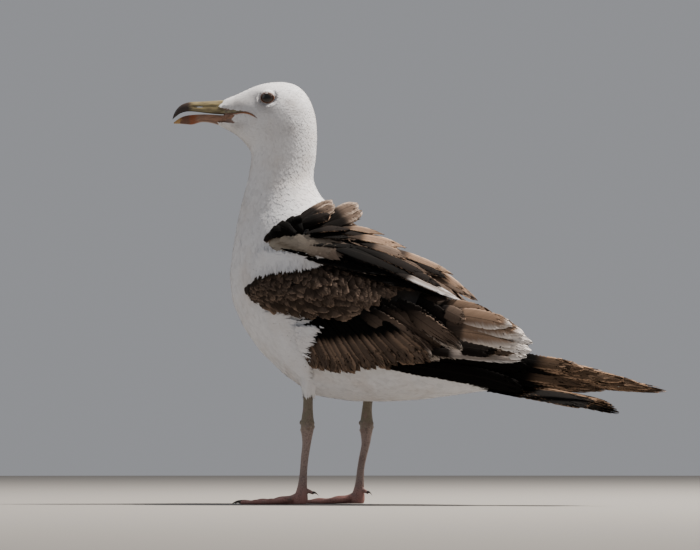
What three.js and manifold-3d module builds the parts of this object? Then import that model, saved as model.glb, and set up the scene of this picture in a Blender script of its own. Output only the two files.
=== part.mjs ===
// A lesser black-backed gull about three years old, as a still, life-size museum model. It stands on both
// feet with its neck up, its head turned a little to its left, its bill slightly open, and the feathers
// of its left shoulder lifted by the wind.
//
// Millimetres, +Z up. The bird faces -X, its left side faces -Y, and it stands on the plane z = 0. At the
// end the whole bird is moved level, so that the middle of its box stands over the origin.

import * as THREE from 'three';
import { mergeVertices } from 'three/addons/utils/BufferGeometryUtils.js';
import { LoftGeometry } from 'three/addons/geometries/LoftGeometry.js';
import Module from 'manifold-3d';

const wasm = await Module();
wasm.setup();

// ---------------------------------------------------------------- driving dimensions

const GAP = 0.3; // clearance between neighbouring pieces
const HEAD_TURN = THREE.MathUtils.degToRad(25); // how far the head is turned to the bird's left
const NECK_AXIS_X = -124.6; // the upright line that the head turns about
const BODY_SIDES = 20; // corners of one section of head, neck or trunk
const BODY_SQUARENESS = 2.2; // 2 would make each section a plain ellipse

const EYE_RADIUS = 7.6;
const EYE = { forward: 10.8, height: 338, side: 15 };

const NOSTRIL = { forward: 68.5, height: 331.8, length: 6.4, tall: 1.3 };

const LEG_SPREAD = 30; // from the middle plane to each leg
const LEFT_LEG = { name: 'left', outward: -1, heelX: -91, ankleX: -86, kneeX: -85 };
const RIGHT_LEG = { name: 'right', outward: 1, heelX: -67, ankleX: -60, kneeX: -57 };
const ANKLE_HEIGHT = 63;
const FOOT_TOP = 17; // where the foot meets the tarsus
const BELLY_HEIGHT = 100; // the tibia starts inside this height, under the belly feathers
const TOES = [
  { name: 'inner', length: 42, splay: 0.42, radius: 2.5 },
  { name: 'middle', length: 53, splay: 0.02, radius: 2.8 },
  { name: 'outer', length: 49, splay: -0.36, radius: 2.5 },
];
const CLAW_LENGTH = 8;
const HIND_TOE_LENGTH = 8;
const WEB_THICKNESS = 1.4;

// The head, neck and trunk are one smooth form. Each row is a section: the point on the crown, nape or
// back (x, z), the point on the face, throat, breast or belly (x, z), half the width, and how much of the
// head's turn the section takes. Turned rows give x as it is before the turn.
const BODY = [
  [-170.6, 338.6, -174.6, 316.0, 7.5, 1],
  [-161.6, 342.6, -168.2, 312.0, 12.5, 1],
  [-149.6, 348.2, -161.6, 307.8, 17.0, 1],
  [-138.6, 351.6, -156.6, 303.0, 20.5, 1],
  [-124.6, 353.0, -152.9, 298.4, 23.0, 1],
  [-112.6, 350.5, -150.1, 295.0, 24.5, 1],
  [-104.1, 343.0, -149.4, 291.0, 25.0, 1],
  [-98.1, 331.0, -149.8, 287.0, 25.2, 1],
  [-95.1, 316.0, -150.6, 283.0, 25.5, 1],
  [-95.6, 290.0, -151.8, 274.0, 26.0, 1],
  [-96.6, 271.0, -155.3, 260.0, 28.0, 0.7],
  [-82.0, 249.0, -160.5, 239.0, 34.0, 0.2],
  [-66.0, 235.0, -165.0, 211.0, 42.0, 0],
  [-48.0, 222.0, -167.5, 190.0, 47.0, 0],
  [-30.0, 211.0, -165.0, 168.0, 50.0, 0],
  [-12.0, 201.0, -155.0, 147.0, 51.0, 0],
  [4.0, 192.0, -139.5, 126.0, 51.0, 0],
  [18.0, 183.0, -118.0, 107.0, 50.0, 0],
  [30.0, 173.0, -92.0, 90.0, 48.0, 0],
  [40.0, 164.0, -60.0, 85.5, 45.0, 0],
  [50.0, 154.0, -28.0, 85.0, 40.0, 0],
  [62.0, 143.0, 4.0, 86.5, 33.0, 0],
  [74.0, 132.0, 32.0, 90.0, 27.0, 0],
  [86.0, 121.0, 56.0, 93.0, 20.0, 0],
  [97.0, 112.0, 78.0, 94.5, 13.0, 0],
  [104.0, 104.0, 97.0, 97.0, 5.0, 0],
];
const HEAD_ENDS = 8; // the row at which the neck takes over from the head
const NECK_ENDS = 11; // and the row at which the trunk takes over from the neck
const TRUNK_ENDS = 18; // behind this row the form is nearly all feathers: the vent, rump and tail coverts

// Bill sections, from the face to the tip: the upper point and the lower point as distance forward of the
// neck axis and height, then half the width.
const UPPER_BILL = [
  [46.5, 337.9, 49.5, 326.2, 6.6],
  [56.0, 337.1, 56.6, 326.6, 5.9],
  [67.2, 336.5, 66.2, 327.6, 5.2],
  [75.5, 336.2, 73.5, 328.4, 4.6],
  [80.5, 335.2, 78.5, 328.5, 4.0],
  [84.6, 333.2, 82.2, 327.8, 3.4],
  [88.0, 329.8, 85.8, 326.2, 2.6],
  [90.2, 325.8, 88.6, 323.9, 1.8],
  [91.5, 321.5, 90.6, 322.2, 0.7],
];
const LOWER_BILL = [
  [50.2, 324.6, 51.2, 316.6, 5.9],
  [58.9, 325.2, 58.9, 318.5, 5.2],
  [66.5, 325.4, 66.5, 319.2, 4.6],
  [74.5, 325.0, 74.5, 317.3, 4.1],
  [80.5, 324.2, 79.8, 317.4, 3.3],
  [85.5, 322.2, 84.5, 317.8, 2.3],
  [90.3, 318.9, 90.1, 318.0, 0.8],
];
const BILL_SIDES = 12;

// The small coverts of a folded wing are a shell on the flank. Each row is a section across it: x, the
// lower edge, the upper edge and how thick the feathers lie there.
const SHOULDER = [
  [-130, 170, 181, 3],
  [-122, 163, 189, 6],
  [-104, 156, 195, 8],
  [-80, 152, 196, 9],
  [-52, 150, 197, 9],
  [-24, 149, 189, 8],
  [2, 150, 181, 7],
  [24, 152, 173, 6],
];

const RIGHT_WING_SHIFT = -20; // the right wing lies this much further forward than the left
const TAIL = {
  feathers: 7,
  rootX: 72,
  tipX: 180,
  rootHeight: 101,
  tipHeight: 84,
  rootSpread: 4,
  tipSpread: 8.5,
  arch: 1,
};

const COLOURS = {
  white: 0xe9eaec,
  brown: 0x4a3d33,
  dark: 0x2b231e,
  tan: 0x7d6350,
  horn: 0x6f6233,
  leg: 0xa58d84,
  claw: 0x241d1a,
  iris: 0x2a1a10,
};

// ---------------------------------------------------------------- solids and small helpers

function finish(colour, roughness) {
  return new THREE.MeshStandardMaterial({ color: colour, roughness, metalness: 0 });
}

const FEATHERS = finish(COLOURS.white, 0.85);
const BROWN_FEATHERS = finish(COLOURS.brown, 0.85);
const DARK_FEATHERS = finish(COLOURS.dark, 0.8);
const TAN_FEATHERS = finish(COLOURS.tan, 0.85);
const HORN = finish(COLOURS.horn, 0.4);
const LEG_SKIN = finish(COLOURS.leg, 0.55);
const CLAW_HORN = finish(COLOURS.claw, 0.4);
const EYE_GLASS = finish(COLOURS.iris, 0.1);

// A three.js geometry as a manifold solid.
function solid(geometry) {
  const bare = new THREE.BufferGeometry();
  bare.setAttribute('position', geometry.attributes.position);
  bare.setIndex(geometry.index);
  const merged = mergeVertices(bare, 1e-4);
  const vertProperties = new Float32Array(merged.attributes.position.array);
  const triVerts = new Uint32Array(merged.index.array);
  return new wasm.Manifold(new wasm.Mesh({ numProp: 3, vertProperties, triVerts }));
}

// A manifold solid's largest piece as a three.js geometry.
function geometryOf(whole) {
  const pieces = whole.decompose();
  const largest = pieces.reduce((best, piece) => (piece.volume() > best.volume() ? piece : best));
  const mesh = largest.getMesh();
  const geometry = new THREE.BufferGeometry();
  geometry.setAttribute('position', new THREE.BufferAttribute(mesh.vertProperties, mesh.numProp));
  geometry.setIndex(new THREE.BufferAttribute(mesh.triVerts, 1));
  geometry.computeVertexNormals();
  return geometry;
}

function join(solids) {
  return solids.reduce((whole, piece) => whole.add(piece));
}

function cut(whole, tools) {
  return tools.reduce((rest, tool) => rest.subtract(tool), whole);
}

function centreOf(section) {
  return section.reduce((sum, point) => sum.add(point), new THREE.Vector3()).divideScalar(section.length);
}

// A closed solid through a row of sections. They are turned round where they wind against the loft.
function loft(sections) {
  const start = centreOf(sections[0]);
  const onward = centreOf(sections[1]).sub(start);
  const facing = new THREE.Vector3();
  sections[0].forEach((point, i) => {
    const next = sections[0][(i + 1) % sections[0].length];
    facing.add(new THREE.Vector3().crossVectors(point.clone().sub(start), next.clone().sub(start)));
  });
  const wound = facing.dot(onward) > 0 ? sections : sections.map((section) => [...section].reverse());
  return solid(new LoftGeometry(wound, { capStart: true, capEnd: true }));
}

// The same shape on the bird's other side.
function mirrored(geometry) {
  const other = geometry.clone().applyMatrix4(new THREE.Matrix4().makeScale(1, -1, 1));
  const index = other.index.array;
  for (let i = 0; i < index.length; i += 3) {
    [index[i], index[i + 1]] = [index[i + 1], index[i]];
  }
  other.computeVertexNormals();
  return other;
}

function signedPower(value, power) {
  return Math.sign(value) * Math.abs(value) ** power;
}

// A point given forward of the neck axis, to the left and up, turned with the head.
function onHead(forward, left, up) {
  const point = new THREE.Vector3(-forward, -left, up);
  point.applyAxisAngle(new THREE.Vector3(0, 0, 1), HEAD_TURN);
  point.x += NECK_AXIS_X;
  return point;
}

const bird = new THREE.Group();

function addNode(name, geometry, material) {
  const mesh = new THREE.Mesh(geometry, material);
  mesh.name = name;
  bird.add(mesh);
  return mesh;
}

// ---------------------------------------------------------------- head, neck and trunk

const backLine = new THREE.CatmullRomCurve3(BODY.map((row) => new THREE.Vector3(row[0], 0, row[1])));
const frontLine = new THREE.CatmullRomCurve3(BODY.map((row) => new THREE.Vector3(row[2], 0, row[3])));
const widthLine = new THREE.CatmullRomCurve3(BODY.map((row) => new THREE.Vector3(row[4], row[5] * 20, 0)));

// One ring of corners at a row number of BODY, grown outwards and shifted along the body.
function bodySection(row, grow, shift) {
  const t = row / (BODY.length - 1);
  const back = backLine.getPoint(t);
  const front = frontLine.getPoint(t);
  const { x: half, y: turned } = widthLine.getPoint(t);
  const turn = THREE.MathUtils.clamp(turned / 20, 0, 1) * HEAD_TURN;
  const middle = back.clone().add(front).multiplyScalar(0.5);
  const up = back.clone().sub(middle);
  const reach = up.length() + grow;
  up.normalize();
  const across = new THREE.Vector3(0, -1, 0);
  const along = new THREE.Vector3().crossVectors(up, across).normalize();
  middle.addScaledVector(along, shift);
  const section = [];
  for (let corner = 0; corner < BODY_SIDES; corner += 1) {
    const angle = (corner / BODY_SIDES) * 2 * Math.PI;
    const point = middle.clone();
    point.addScaledVector(up, reach * signedPower(Math.cos(angle), 2 / BODY_SQUARENESS));
    point.addScaledVector(across, (half + grow) * signedPower(Math.sin(angle), 2 / BODY_SQUARENESS));
    point.x -= NECK_AXIS_X;
    point.applyAxisAngle(new THREE.Vector3(0, 0, 1), turn);
    point.x += NECK_AXIS_X;
    section.push(point);
  }
  return section;
}

// The stretch of the body between two rows, with half a gap left at each parting.
function bodyStretch(from, to, grow = 0) {
  const last = BODY.length - 1;
  const startShift = from > 0 ? GAP / 2 : 0;
  const endShift = to < last ? -GAP / 2 : 0;
  const sections = [bodySection(from, grow, startShift)];
  const nextRow = (row) => row + (row < NECK_ENDS ? 0.5 : 1); // the head and neck have finer rings
  for (let row = nextRow(from); row < to; row = nextRow(row)) {
    sections.push(bodySection(row, grow, 0));
  }
  sections.push(bodySection(to, grow, endShift));
  return loft(sections);
}

const grownBody = bodyStretch(0, BODY.length - 1, GAP);

function eyeball(side, radius) {
  const ball = new THREE.SphereGeometry(radius, 12, 9);
  const centre = onHead(EYE.forward, side * EYE.side, EYE.height);
  return ball.translate(centre.x, centre.y, centre.z);
}

function buildBody() {
  const sockets = [1, -1].map((side) => solid(eyeball(side, EYE_RADIUS + GAP)));
  const head = cut(bodyStretch(0, HEAD_ENDS), sockets);
  addNode('head', geometryOf(head), FEATHERS);
  addNode('neck', geometryOf(bodyStretch(HEAD_ENDS, NECK_ENDS)), FEATHERS);
  addNode('trunk', geometryOf(bodyStretch(NECK_ENDS, TRUNK_ENDS)), FEATHERS);
  addNode('rump', geometryOf(bodyStretch(TRUNK_ENDS, BODY.length - 1)), FEATHERS);
  addNode('eye_left', eyeball(1, EYE_RADIUS), EYE_GLASS);
  addNode('eye_right', eyeball(-1, EYE_RADIUS), EYE_GLASS);
}

// ---------------------------------------------------------------- bill

function billHalf(rows) {
  const sections = rows.map(([topForward, topHeight, underForward, underHeight, half]) => {
    const top = onHead(topForward, 0, topHeight);
    const under = onHead(underForward, 0, underHeight);
    const middle = top.clone().add(under).multiplyScalar(0.5);
    const up = top.clone().sub(middle);
    const across = onHead(0, 1, 0).sub(onHead(0, 0, 0));
    const section = [];
    for (let corner = 0; corner < BILL_SIDES; corner += 1) {
      const angle = (corner / BILL_SIDES) * 2 * Math.PI;
      const point = middle.clone();
      point.addScaledVector(up, Math.cos(angle));
      point.addScaledVector(across, half * signedPower(Math.sin(angle), 0.85));
      section.push(point);
    }
    return section;
  });
  return loft(sections);
}

// The slot that runs through both nostrils.
function nostrilSlot() {
  const slot = new THREE.Shape();
  const reach = (NOSTRIL.length - NOSTRIL.tall) / 2;
  const radius = NOSTRIL.tall / 2;
  slot.absarc(reach, 0, radius, -Math.PI / 2, Math.PI / 2);
  slot.absarc(-reach, 0, radius, Math.PI / 2, (Math.PI * 3) / 2);
  const depth = 30;
  const bar = new THREE.ExtrudeGeometry(slot, { depth, bevelEnabled: false, curveSegments: 4 });
  bar.translate(0, 0, -depth / 2);
  bar.rotateX(Math.PI / 2);
  bar.rotateZ(HEAD_TURN);
  const centre = onHead(NOSTRIL.forward, 0, NOSTRIL.height);
  return solid(bar.translate(centre.x, centre.y, centre.z));
}

function buildBill() {
  addNode('upper_bill', geometryOf(cut(billHalf(UPPER_BILL), [grownBody, nostrilSlot()])), HORN);
  addNode('lower_bill', geometryOf(cut(billHalf(LOWER_BILL), [grownBody])), HORN);
}

// ---------------------------------------------------------------- sheets of long feathers

const SHEET_RINGS = 4; // stretches along a feather
const SHEET_STEP = 1.1; // how far each feather stands over the next
const TIP_NOTCH = 0.09; // how far the notches between tips cut in, as a share of the length

function mix(a, b, t) {
  return a.map((value, i) => value + (b[i] - value) * t);
}

// Feathers laid side by side between a first and a last one.
function spread(first, last, count) {
  return Array.from({ length: count }, (_, i) => {
    const t = i / (count - 1);
    const bow = first.bow + (last.bow - first.bow) * t;
    return { root: mix(first.root, last.root, t), tip: mix(first.tip, last.tip, t), bow };
  });
}

// The line of a feather's shaft. It bows out from the straight by `bow` on the side that `out` faces.
function shaft({ root, tip, bow }, out) {
  const start = new THREE.Vector3(...root);
  const end = new THREE.Vector3(...tip);
  const middle = start.clone().lerp(end, 0.5).addScaledVector(out, 2 * bow);
  return new THREE.QuadraticBezierCurve3(start, middle, end);
}

// A closed sheet of feathers that overlap like tiles, each one over the next. Its outer face looks
// towards `out`. The edge feathers are `margin` wide beyond their shafts.
function featherSheet(feathers, { out, thick, margin }) {
  const face = new THREE.Vector3(...out).normalize();
  const shafts = feathers.map((feather) => shaft(feather, face));
  const edge = 0.49; // just short of halfway to the next shaft
  const columns = shafts.flatMap((line, i) => [
    { line, i, aside: -edge, height: SHEET_STEP },
    { line, i, aside: 0, height: SHEET_STEP },
    { line, i, aside: edge, height: 0 },
  ]);
  const sections = columns.map(({ line, i, aside, height }) => {
    const outer = [];
    for (let ring = 0; ring <= SHEET_RINGS; ring += 1) {
      const along = ring / SHEET_RINGS;
      const s = along - (Math.abs(aside) / edge) * TIP_NOTCH * along ** 3;
      const point = line.getPoint(s);
      const neighbour = shafts[i + Math.sign(aside)];
      if (neighbour) {
        point.lerp(neighbour.getPoint(s), Math.abs(aside));
      } else {
        const inward = shafts[i - Math.sign(aside)].getPoint(s).sub(point);
        const reach = margin * Math.min(1, 0.5 + s) * Math.sqrt(1.1 - s ** 5);
        point.sub(inward.setLength(reach));
      }
      outer.push(point.addScaledVector(face, height));
    }
    const inner = outer.map((point) => point.clone().addScaledVector(face, -thick - height)).reverse();
    return [...outer, ...inner];
  });
  return loft(sections);
}

// One broad feather on its own, from its root to its rounded tip.
function blade({ root, tip, bow, width, thick }, out) {
  const face = new THREE.Vector3(...out).normalize();
  const line = shaft({ root, tip, bow }, face);
  const sides = 6;
  const sections = [];
  for (let ring = 0; ring <= SHEET_RINGS; ring += 1) {
    const s = ring / SHEET_RINGS;
    const side = new THREE.Vector3().crossVectors(line.getTangent(s), face).normalize();
    const half = (width / 2) * Math.min(1, 0.5 + s) * Math.sqrt(1.02 - s ** 5);
    const section = [];
    for (let corner = 0; corner < sides; corner += 1) {
      const angle = (corner / sides) * 2 * Math.PI;
      const point = line.getPoint(s).addScaledVector(side, half * Math.cos(angle));
      section.push(point.addScaledVector(face, (thick / 2) * Math.sin(angle)));
    }
    sections.push(section);
  }
  return loft(sections);
}

// ---------------------------------------------------------------- folded wing

// How far out the bird's left flank lies at a place on its side.
const flankMesh = new THREE.Mesh(geometryOf(bodyStretch(0, BODY.length - 1)), FEATHERS);
const flankRay = new THREE.Raycaster();

function flank(x, z) {
  flankRay.set(new THREE.Vector3(x, -200, z), new THREE.Vector3(0, 1, 0));
  const hit = flankRay.intersectObject(flankMesh)[0];
  return hit ? -hit.point.y : 0;
}

// A place on the left side that stands off the flank.
function offFlank(x, z, stand) {
  return [x, -(flank(x, z) + stand), z];
}

const SHELL_POINTS = 6;
const SHELL_RIM = 2.5; // how far the shell's edge stands off the body

// The shell of small coverts over the wing's arm, from the wrist back.
function shoulderShell(shift, grow = 0) {
  const sections = SHOULDER.map(([place, low, high, thick]) => {
    const x = place + shift;
    const outer = [];
    for (let i = 0; i <= SHELL_POINTS; i += 1) {
      const t = i / SHELL_POINTS;
      const z = low - grow + (high - low + 2 * grow) * t;
      const stand = SHELL_RIM + thick * Math.sin(Math.PI * t) ** 0.6 + grow;
      outer.push(new THREE.Vector3(x, -(flank(x, z) + stand), z));
    }
    const inner = [outer[SHELL_POINTS], outer[0]].map(({ y, z }) => new THREE.Vector3(x, y * 0.6, z));
    return [...outer, ...inner];
  });
  return loft(sections);
}

// The long coverts fan down and back from under the shoulder, over the folded secondaries.
function greaterCoverts(shift) {
  const first = { root: offFlank(-80 + shift, 145, 7), tip: offFlank(-64 + shift, 110, 8), bow: 4 };
  const last = { root: offFlank(6 + shift, 146, 7), tip: offFlank(43 + shift, 115, 9), bow: 4 };
  return featherSheet(spread(first, last, 7), { out: [0, -1, -0.15], thick: 2, margin: 7 });
}

// The tertials lie over the side of the rump like tiles, the topmost longest.
function tertials(shift) {
  const first = { root: [30 + shift, -30, 163], tip: [117 + shift, -22, 132], bow: 7 };
  const last = { root: [38 + shift, -42, 141], tip: [92 + shift, -34, 118], bow: 3 };
  return featherSheet(spread(first, last, 4), { out: [0.1, -1, 0.55], thick: 2.2, margin: 7 });
}

// The primaries reach past the tail in a narrow stack.
function primaries(shift) {
  const first = { root: [90 + shift, -18, 121], tip: [150 + shift, -14, 111], bow: 1 };
  const last = { root: [84 + shift, -20, 101], tip: [218 + shift, -5, 93], bow: 1 };
  return featherSheet(spread(first, last, 5), { out: [0.1, -1, 0.4], thick: 2, margin: 4 });
}

// Two rows of scapulars hide where the wing joins the back. The front row lies over the rear one, and
// the wind lifts its tips by `lift`.
function scapulars(shift, lift) {
  const front = spread(
    { root: offFlank(-98 + shift, 240, 4), tip: [-12 + shift, -14, 212 + lift], bow: 6 },
    { root: offFlank(-116 + shift, 226, 3), tip: offFlank(-34 + shift, 190 + lift, 8), bow: 6 },
    4,
  );
  const rear = spread(
    { root: [-40 + shift, -16, 217], tip: [48 + shift, -14, 180 + lift], bow: 4 },
    { root: offFlank(-52 + shift, 200, 4), tip: [46 + shift, -31, 170], bow: 5 },
    4,
  );
  const lie = { out: [0.1, -0.85, 0.75], thick: 2.5, margin: 7 };
  return join([featherSheet(front, lie), featherSheet(rear, lie)]);
}

// Tufts that the wind stands up at the left shoulder.
function shoulderTufts() {
  return [0, 1].map((i) => {
    const x = -98 + i * 21;
    const root = offFlank(x, 234 - 6 * i, 5);
    const tip = [x + 21, -18, 251];
    return blade({ root, tip, bow: 3, width: 17, thick: 3 }, [-0.35, -0.9, 0.4]);
  });
}

function buildWing(sideName, shift, backFeathers, place) {
  const pieces = {
    wing: [shoulderShell(shift), BROWN_FEATHERS],
    greater_coverts: [greaterCoverts(shift), BROWN_FEATHERS],
    tertials: [tertials(shift), TAN_FEATHERS],
    primaries: [primaries(shift), DARK_FEATHERS],
    scapulars: [cut(backFeathers, [shoulderShell(shift, GAP)]), BROWN_FEATHERS],
  };
  Object.entries(pieces).forEach(([name, [made, material]]) => {
    addNode(`${name}_${sideName}`, geometryOf(cut(place(made), [grownBody])), material);
  });
}

function buildWings() {
  buildWing('left', 0, join([scapulars(0, 6), ...shoulderTufts()]), (made) => made);
  const toRight = (made) => solid(mirrored(geometryOf(made)));
  buildWing('right', RIGHT_WING_SHIFT, scapulars(RIGHT_WING_SHIFT, 0), toRight);
}

// ---------------------------------------------------------------- tail

// A closed tail: the middle feathers lie on top, and the outer ones lower on each side.
function buildTail() {
  const feathers = Array.from({ length: TAIL.feathers }, (_, i) => {
    const from = i - (TAIL.feathers - 1) / 2;
    const drop = TAIL.arch * from * from;
    return {
      root: [TAIL.rootX, from * TAIL.rootSpread, TAIL.rootHeight - drop * 0.5],
      tip: [TAIL.tipX, from * TAIL.tipSpread, TAIL.tipHeight - drop],
      bow: 3,
    };
  });
  const sheet = featherSheet(feathers, { out: [0.2, 0, 1], thick: 2, margin: 4 });
  addNode('tail', geometryOf(cut(sheet, [grownBody])), DARK_FEATHERS);
}

// ---------------------------------------------------------------- legs and feet

// A ring of corners in a level plane, for a limb that stands nearly upright.
function levelRing(x, y, z, halfLong, halfWide, sides = 10) {
  return Array.from({ length: sides }, (_, i) => {
    const angle = (i / sides) * 2 * Math.PI;
    return new THREE.Vector3(x + halfLong * Math.cos(angle), y + halfWide * Math.sin(angle), z);
  });
}

const TOE_RINGS = 5;
const TOE_SIDES = 8;

// A toe from the palm to its claw, round above and flat where it rests.
function toe(start, direction, length, radius) {
  const across = new THREE.Vector3(-direction.y, direction.x, 0);
  const sections = [];
  for (let ring = 0; ring <= TOE_RINGS; ring += 1) {
    const s = ring / TOE_RINGS;
    const joint = 0.25 * Math.cos(s * 2 * 2 * Math.PI);
    const size = radius * (1.25 - 0.6 * s) + joint;
    const centre = start.clone().addScaledVector(direction, length * s);
    centre.z = size * 0.8;
    const section = [];
    for (let corner = 0; corner < TOE_SIDES; corner += 1) {
      const angle = (corner / TOE_SIDES) * 2 * Math.PI;
      const point = centre.clone().addScaledVector(across, size * Math.cos(angle));
      point.z = Math.max(0, centre.z + size * Math.sin(angle));
      section.push(point);
    }
    sections.push(section);
  }
  return loft(sections);
}

// The skin between two toes, with its front edge drawn in.
function web(start, first, firstReach, second, secondReach) {
  const a = start.clone().addScaledVector(first, firstReach);
  const b = start.clone().addScaledVector(second, secondReach);
  const hollow = a.clone().add(b).multiplyScalar(0.5).lerp(start, 0.22);
  const outline = new THREE.Shape();
  outline.moveTo(start.x, start.y);
  outline.lineTo(a.x, a.y);
  outline.quadraticCurveTo(hollow.x, hollow.y, b.x, b.y);
  const sheet = { depth: WEB_THICKNESS, bevelEnabled: false, curveSegments: 5 };
  return solid(new THREE.ExtrudeGeometry(outline, sheet));
}

const CLAW_RINGS = 3;
const CLAW_SIDES = 6;

// A claw that curves down to the floor from its toe.
function claw(root, direction, length, thick, droop) {
  const across = new THREE.Vector3(-direction.y, direction.x, 0);
  const sections = [];
  for (let ring = 0; ring <= CLAW_RINGS; ring += 1) {
    const s = ring / CLAW_RINGS;
    const size = thick * (1 - 0.85 * s);
    const centre = root.clone().addScaledVector(direction, length * s);
    centre.z -= droop * s * s;
    const section = [];
    for (let corner = 0; corner < CLAW_SIDES; corner += 1) {
      const angle = (corner / CLAW_SIDES) * 2 * Math.PI;
      const point = centre.clone().addScaledVector(across, size * 0.7 * Math.cos(angle));
      point.z += size * Math.sin(angle);
      section.push(point);
    }
    sections.push(section);
  }
  return loft(sections);
}

function buildLeg({ name, outward, heelX, ankleX, kneeX }) {
  const y = outward * LEG_SPREAD;
  const tibia = loft([
    levelRing(kneeX, y, BELLY_HEIGHT, 6.4, 5.6),
    levelRing((ankleX + kneeX) / 2, y, 84, 4.6, 3.9),
    levelRing(ankleX, y, 74, 4.8, 3.7),
    levelRing(ankleX, y, ANKLE_HEIGHT + GAP / 2, 6.3, 4.4),
  ]);
  const tarsus = loft([
    levelRing(ankleX, y, ANKLE_HEIGHT - GAP / 2, 6.3, 4.4),
    levelRing(ankleX - 0.5, y, 57, 5.2, 3.9),
    levelRing(ankleX - 1, y, 50, 4.0, 3.0),
    levelRing(heelX + 1.5, y, 30, 3.6, 2.7),
    levelRing(heelX + 0.5, y, FOOT_TOP + GAP / 2, 3.9, 3.0),
  ]);
  addNode(`tibia_${name}`, geometryOf(cut(tibia, [grownBody])), LEG_SKIN);
  addNode(`tarsus_${name}`, geometryOf(tarsus), LEG_SKIN);
  buildFoot(name, outward, heelX, y);
}

function buildFoot(sideName, outward, heelX, y) {
  const start = new THREE.Vector3(heelX - 2, y, 0);
  const heading = (splay) => new THREE.Vector3(-Math.cos(splay), -outward * Math.sin(splay), 0);
  const directions = TOES.map(({ splay }) => heading(splay));
  const palm = loft([
    levelRing(heelX - 1, y, 0, 7.0, 4.8),
    levelRing(heelX - 1.5, y, 3, 7.4, 5.2),
    levelRing(heelX - 1, y, 9, 5.4, 4.4),
    levelRing(heelX + 0.5, y, FOOT_TOP - GAP / 2, 3.9, 3.0),
  ]);
  const toes = TOES.map(({ length, radius }, i) => toe(start, directions[i], length, radius));
  const webs = [0, 1].map((i) => {
    const reaches = [TOES[i].length * 0.93, TOES[i + 1].length * 0.93];
    return web(start, directions[i], reaches[0], directions[i + 1], reaches[1]);
  });
  const back = new THREE.Vector3(1, -outward * 0.25, 0).normalize();
  const hindRoot = new THREE.Vector3(heelX + 1, y, 11);
  const hindToe = claw(hindRoot, back, HIND_TOE_LENGTH, 2.6, 2);
  const foot = join([palm, ...toes, ...webs, hindToe]);
  TOES.forEach(({ name, length }, i) => {
    const root = start.clone().addScaledVector(directions[i], length + GAP);
    root.z = 1.9;
    const nail = claw(root, directions[i], CLAW_LENGTH, 1.7, 1.5);
    addNode(`claw_${name}_${sideName}`, geometryOf(nail), CLAW_HORN);
  });
  const hindClawRoot = hindRoot.clone().addScaledVector(back, HIND_TOE_LENGTH + GAP);
  hindClawRoot.z -= 2;
  addNode(`claw_hind_${sideName}`, geometryOf(claw(hindClawRoot, back, 5, 1.3, 2.4)), CLAW_HORN);
  addNode(`foot_${sideName}`, geometryOf(foot), LEG_SKIN);
}

buildBody();
buildBill();
buildWings();
buildTail();
buildLeg(LEFT_LEG);
buildLeg(RIGHT_LEG);

const middle = new THREE.Box3().setFromObject(bird).getCenter(new THREE.Vector3());
bird.position.set(-middle.x, -middle.y, 0);

export default bird;
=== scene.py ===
# %% [markdown]
# # A lesser black-backed gull, as a museum would show it
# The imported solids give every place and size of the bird. This lesson covers them with a coat of modelled
# feathers, and makes the eyes, the bill and the legs. Each step says what a piece is on the real bird, how
# it could be made, and why it is made this way. Everything is in metres, with +Z up. The bird's breast
# faces -X, and its left side, which faces -Y, is the side that the camera sees.

# %% Load the frame
import math

import bmesh
import bpy
import numpy as np
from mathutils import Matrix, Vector
from mathutils.bvhtree import BVHTree
from mathutils.kdtree import KDTree


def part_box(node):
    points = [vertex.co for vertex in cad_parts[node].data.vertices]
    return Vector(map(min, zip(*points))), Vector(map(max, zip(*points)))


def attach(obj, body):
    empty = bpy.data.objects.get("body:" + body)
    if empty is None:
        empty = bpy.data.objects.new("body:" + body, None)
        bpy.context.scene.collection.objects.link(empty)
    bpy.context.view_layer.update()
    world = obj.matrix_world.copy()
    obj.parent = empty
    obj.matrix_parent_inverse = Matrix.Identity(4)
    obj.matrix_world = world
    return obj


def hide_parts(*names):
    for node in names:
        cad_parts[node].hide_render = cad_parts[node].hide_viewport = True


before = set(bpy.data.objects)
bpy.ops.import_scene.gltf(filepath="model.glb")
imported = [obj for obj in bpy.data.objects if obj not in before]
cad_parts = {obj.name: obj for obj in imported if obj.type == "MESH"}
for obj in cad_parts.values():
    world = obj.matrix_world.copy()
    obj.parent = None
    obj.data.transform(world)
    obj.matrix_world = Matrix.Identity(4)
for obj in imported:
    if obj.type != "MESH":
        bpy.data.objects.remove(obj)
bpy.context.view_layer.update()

SIDES = {"left": -1, "right": 1}
rng = np.random.default_rng(8)
print("the frame has", len(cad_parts), "nodes")

# %% [markdown]
# ## Places on the head
# The head is turned to the bird's left, so a place on it is easier to give as so far forward of the neck,
# so far to the side and so high. Both eyes are balls in the frame. The line between them runs across the
# head, so its direction gives the turn, and nothing has to be guessed.

# %% Measure the head's turn
def middle(node):
    low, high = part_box(node)
    return (low + high) / 2


def unit(vector):
    return vector.normalized()


UP = Vector((0, 0, 1))
EYES_AHEAD = 0.0108  # the eyes are this far in front of the line that the head turns about
head_left = unit(middle("eye_left") - middle("eye_right"))
head_forward = unit(head_left.cross(UP))
neck_axis = (middle("eye_left") + middle("eye_right")) / 2 - head_forward * EYES_AHEAD
neck_axis.z = 0


def on_head(forward, left, height):
    return neck_axis + head_forward * forward + head_left * left + UP * height


def mm(x, y, z):
    return Vector((x, y, z)) / 1000


print("the head is turned", round(math.degrees(math.atan2(-head_forward.y, -head_forward.x)), 1), "degrees")

# %% [markdown]
# ## Making meshes
# A tube that changes its section, such as a leg or a bill, can be made by placing rings and bridging each
# one to the next, as the Bridge Edge Loops tool does. That keeps the rows even, which a subdivision surface
# likes. Two small helpers do it here. The others turn a finished bmesh into an object, read and move its
# points as one table of numbers, and give a piece what the frame asks of it.

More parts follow.
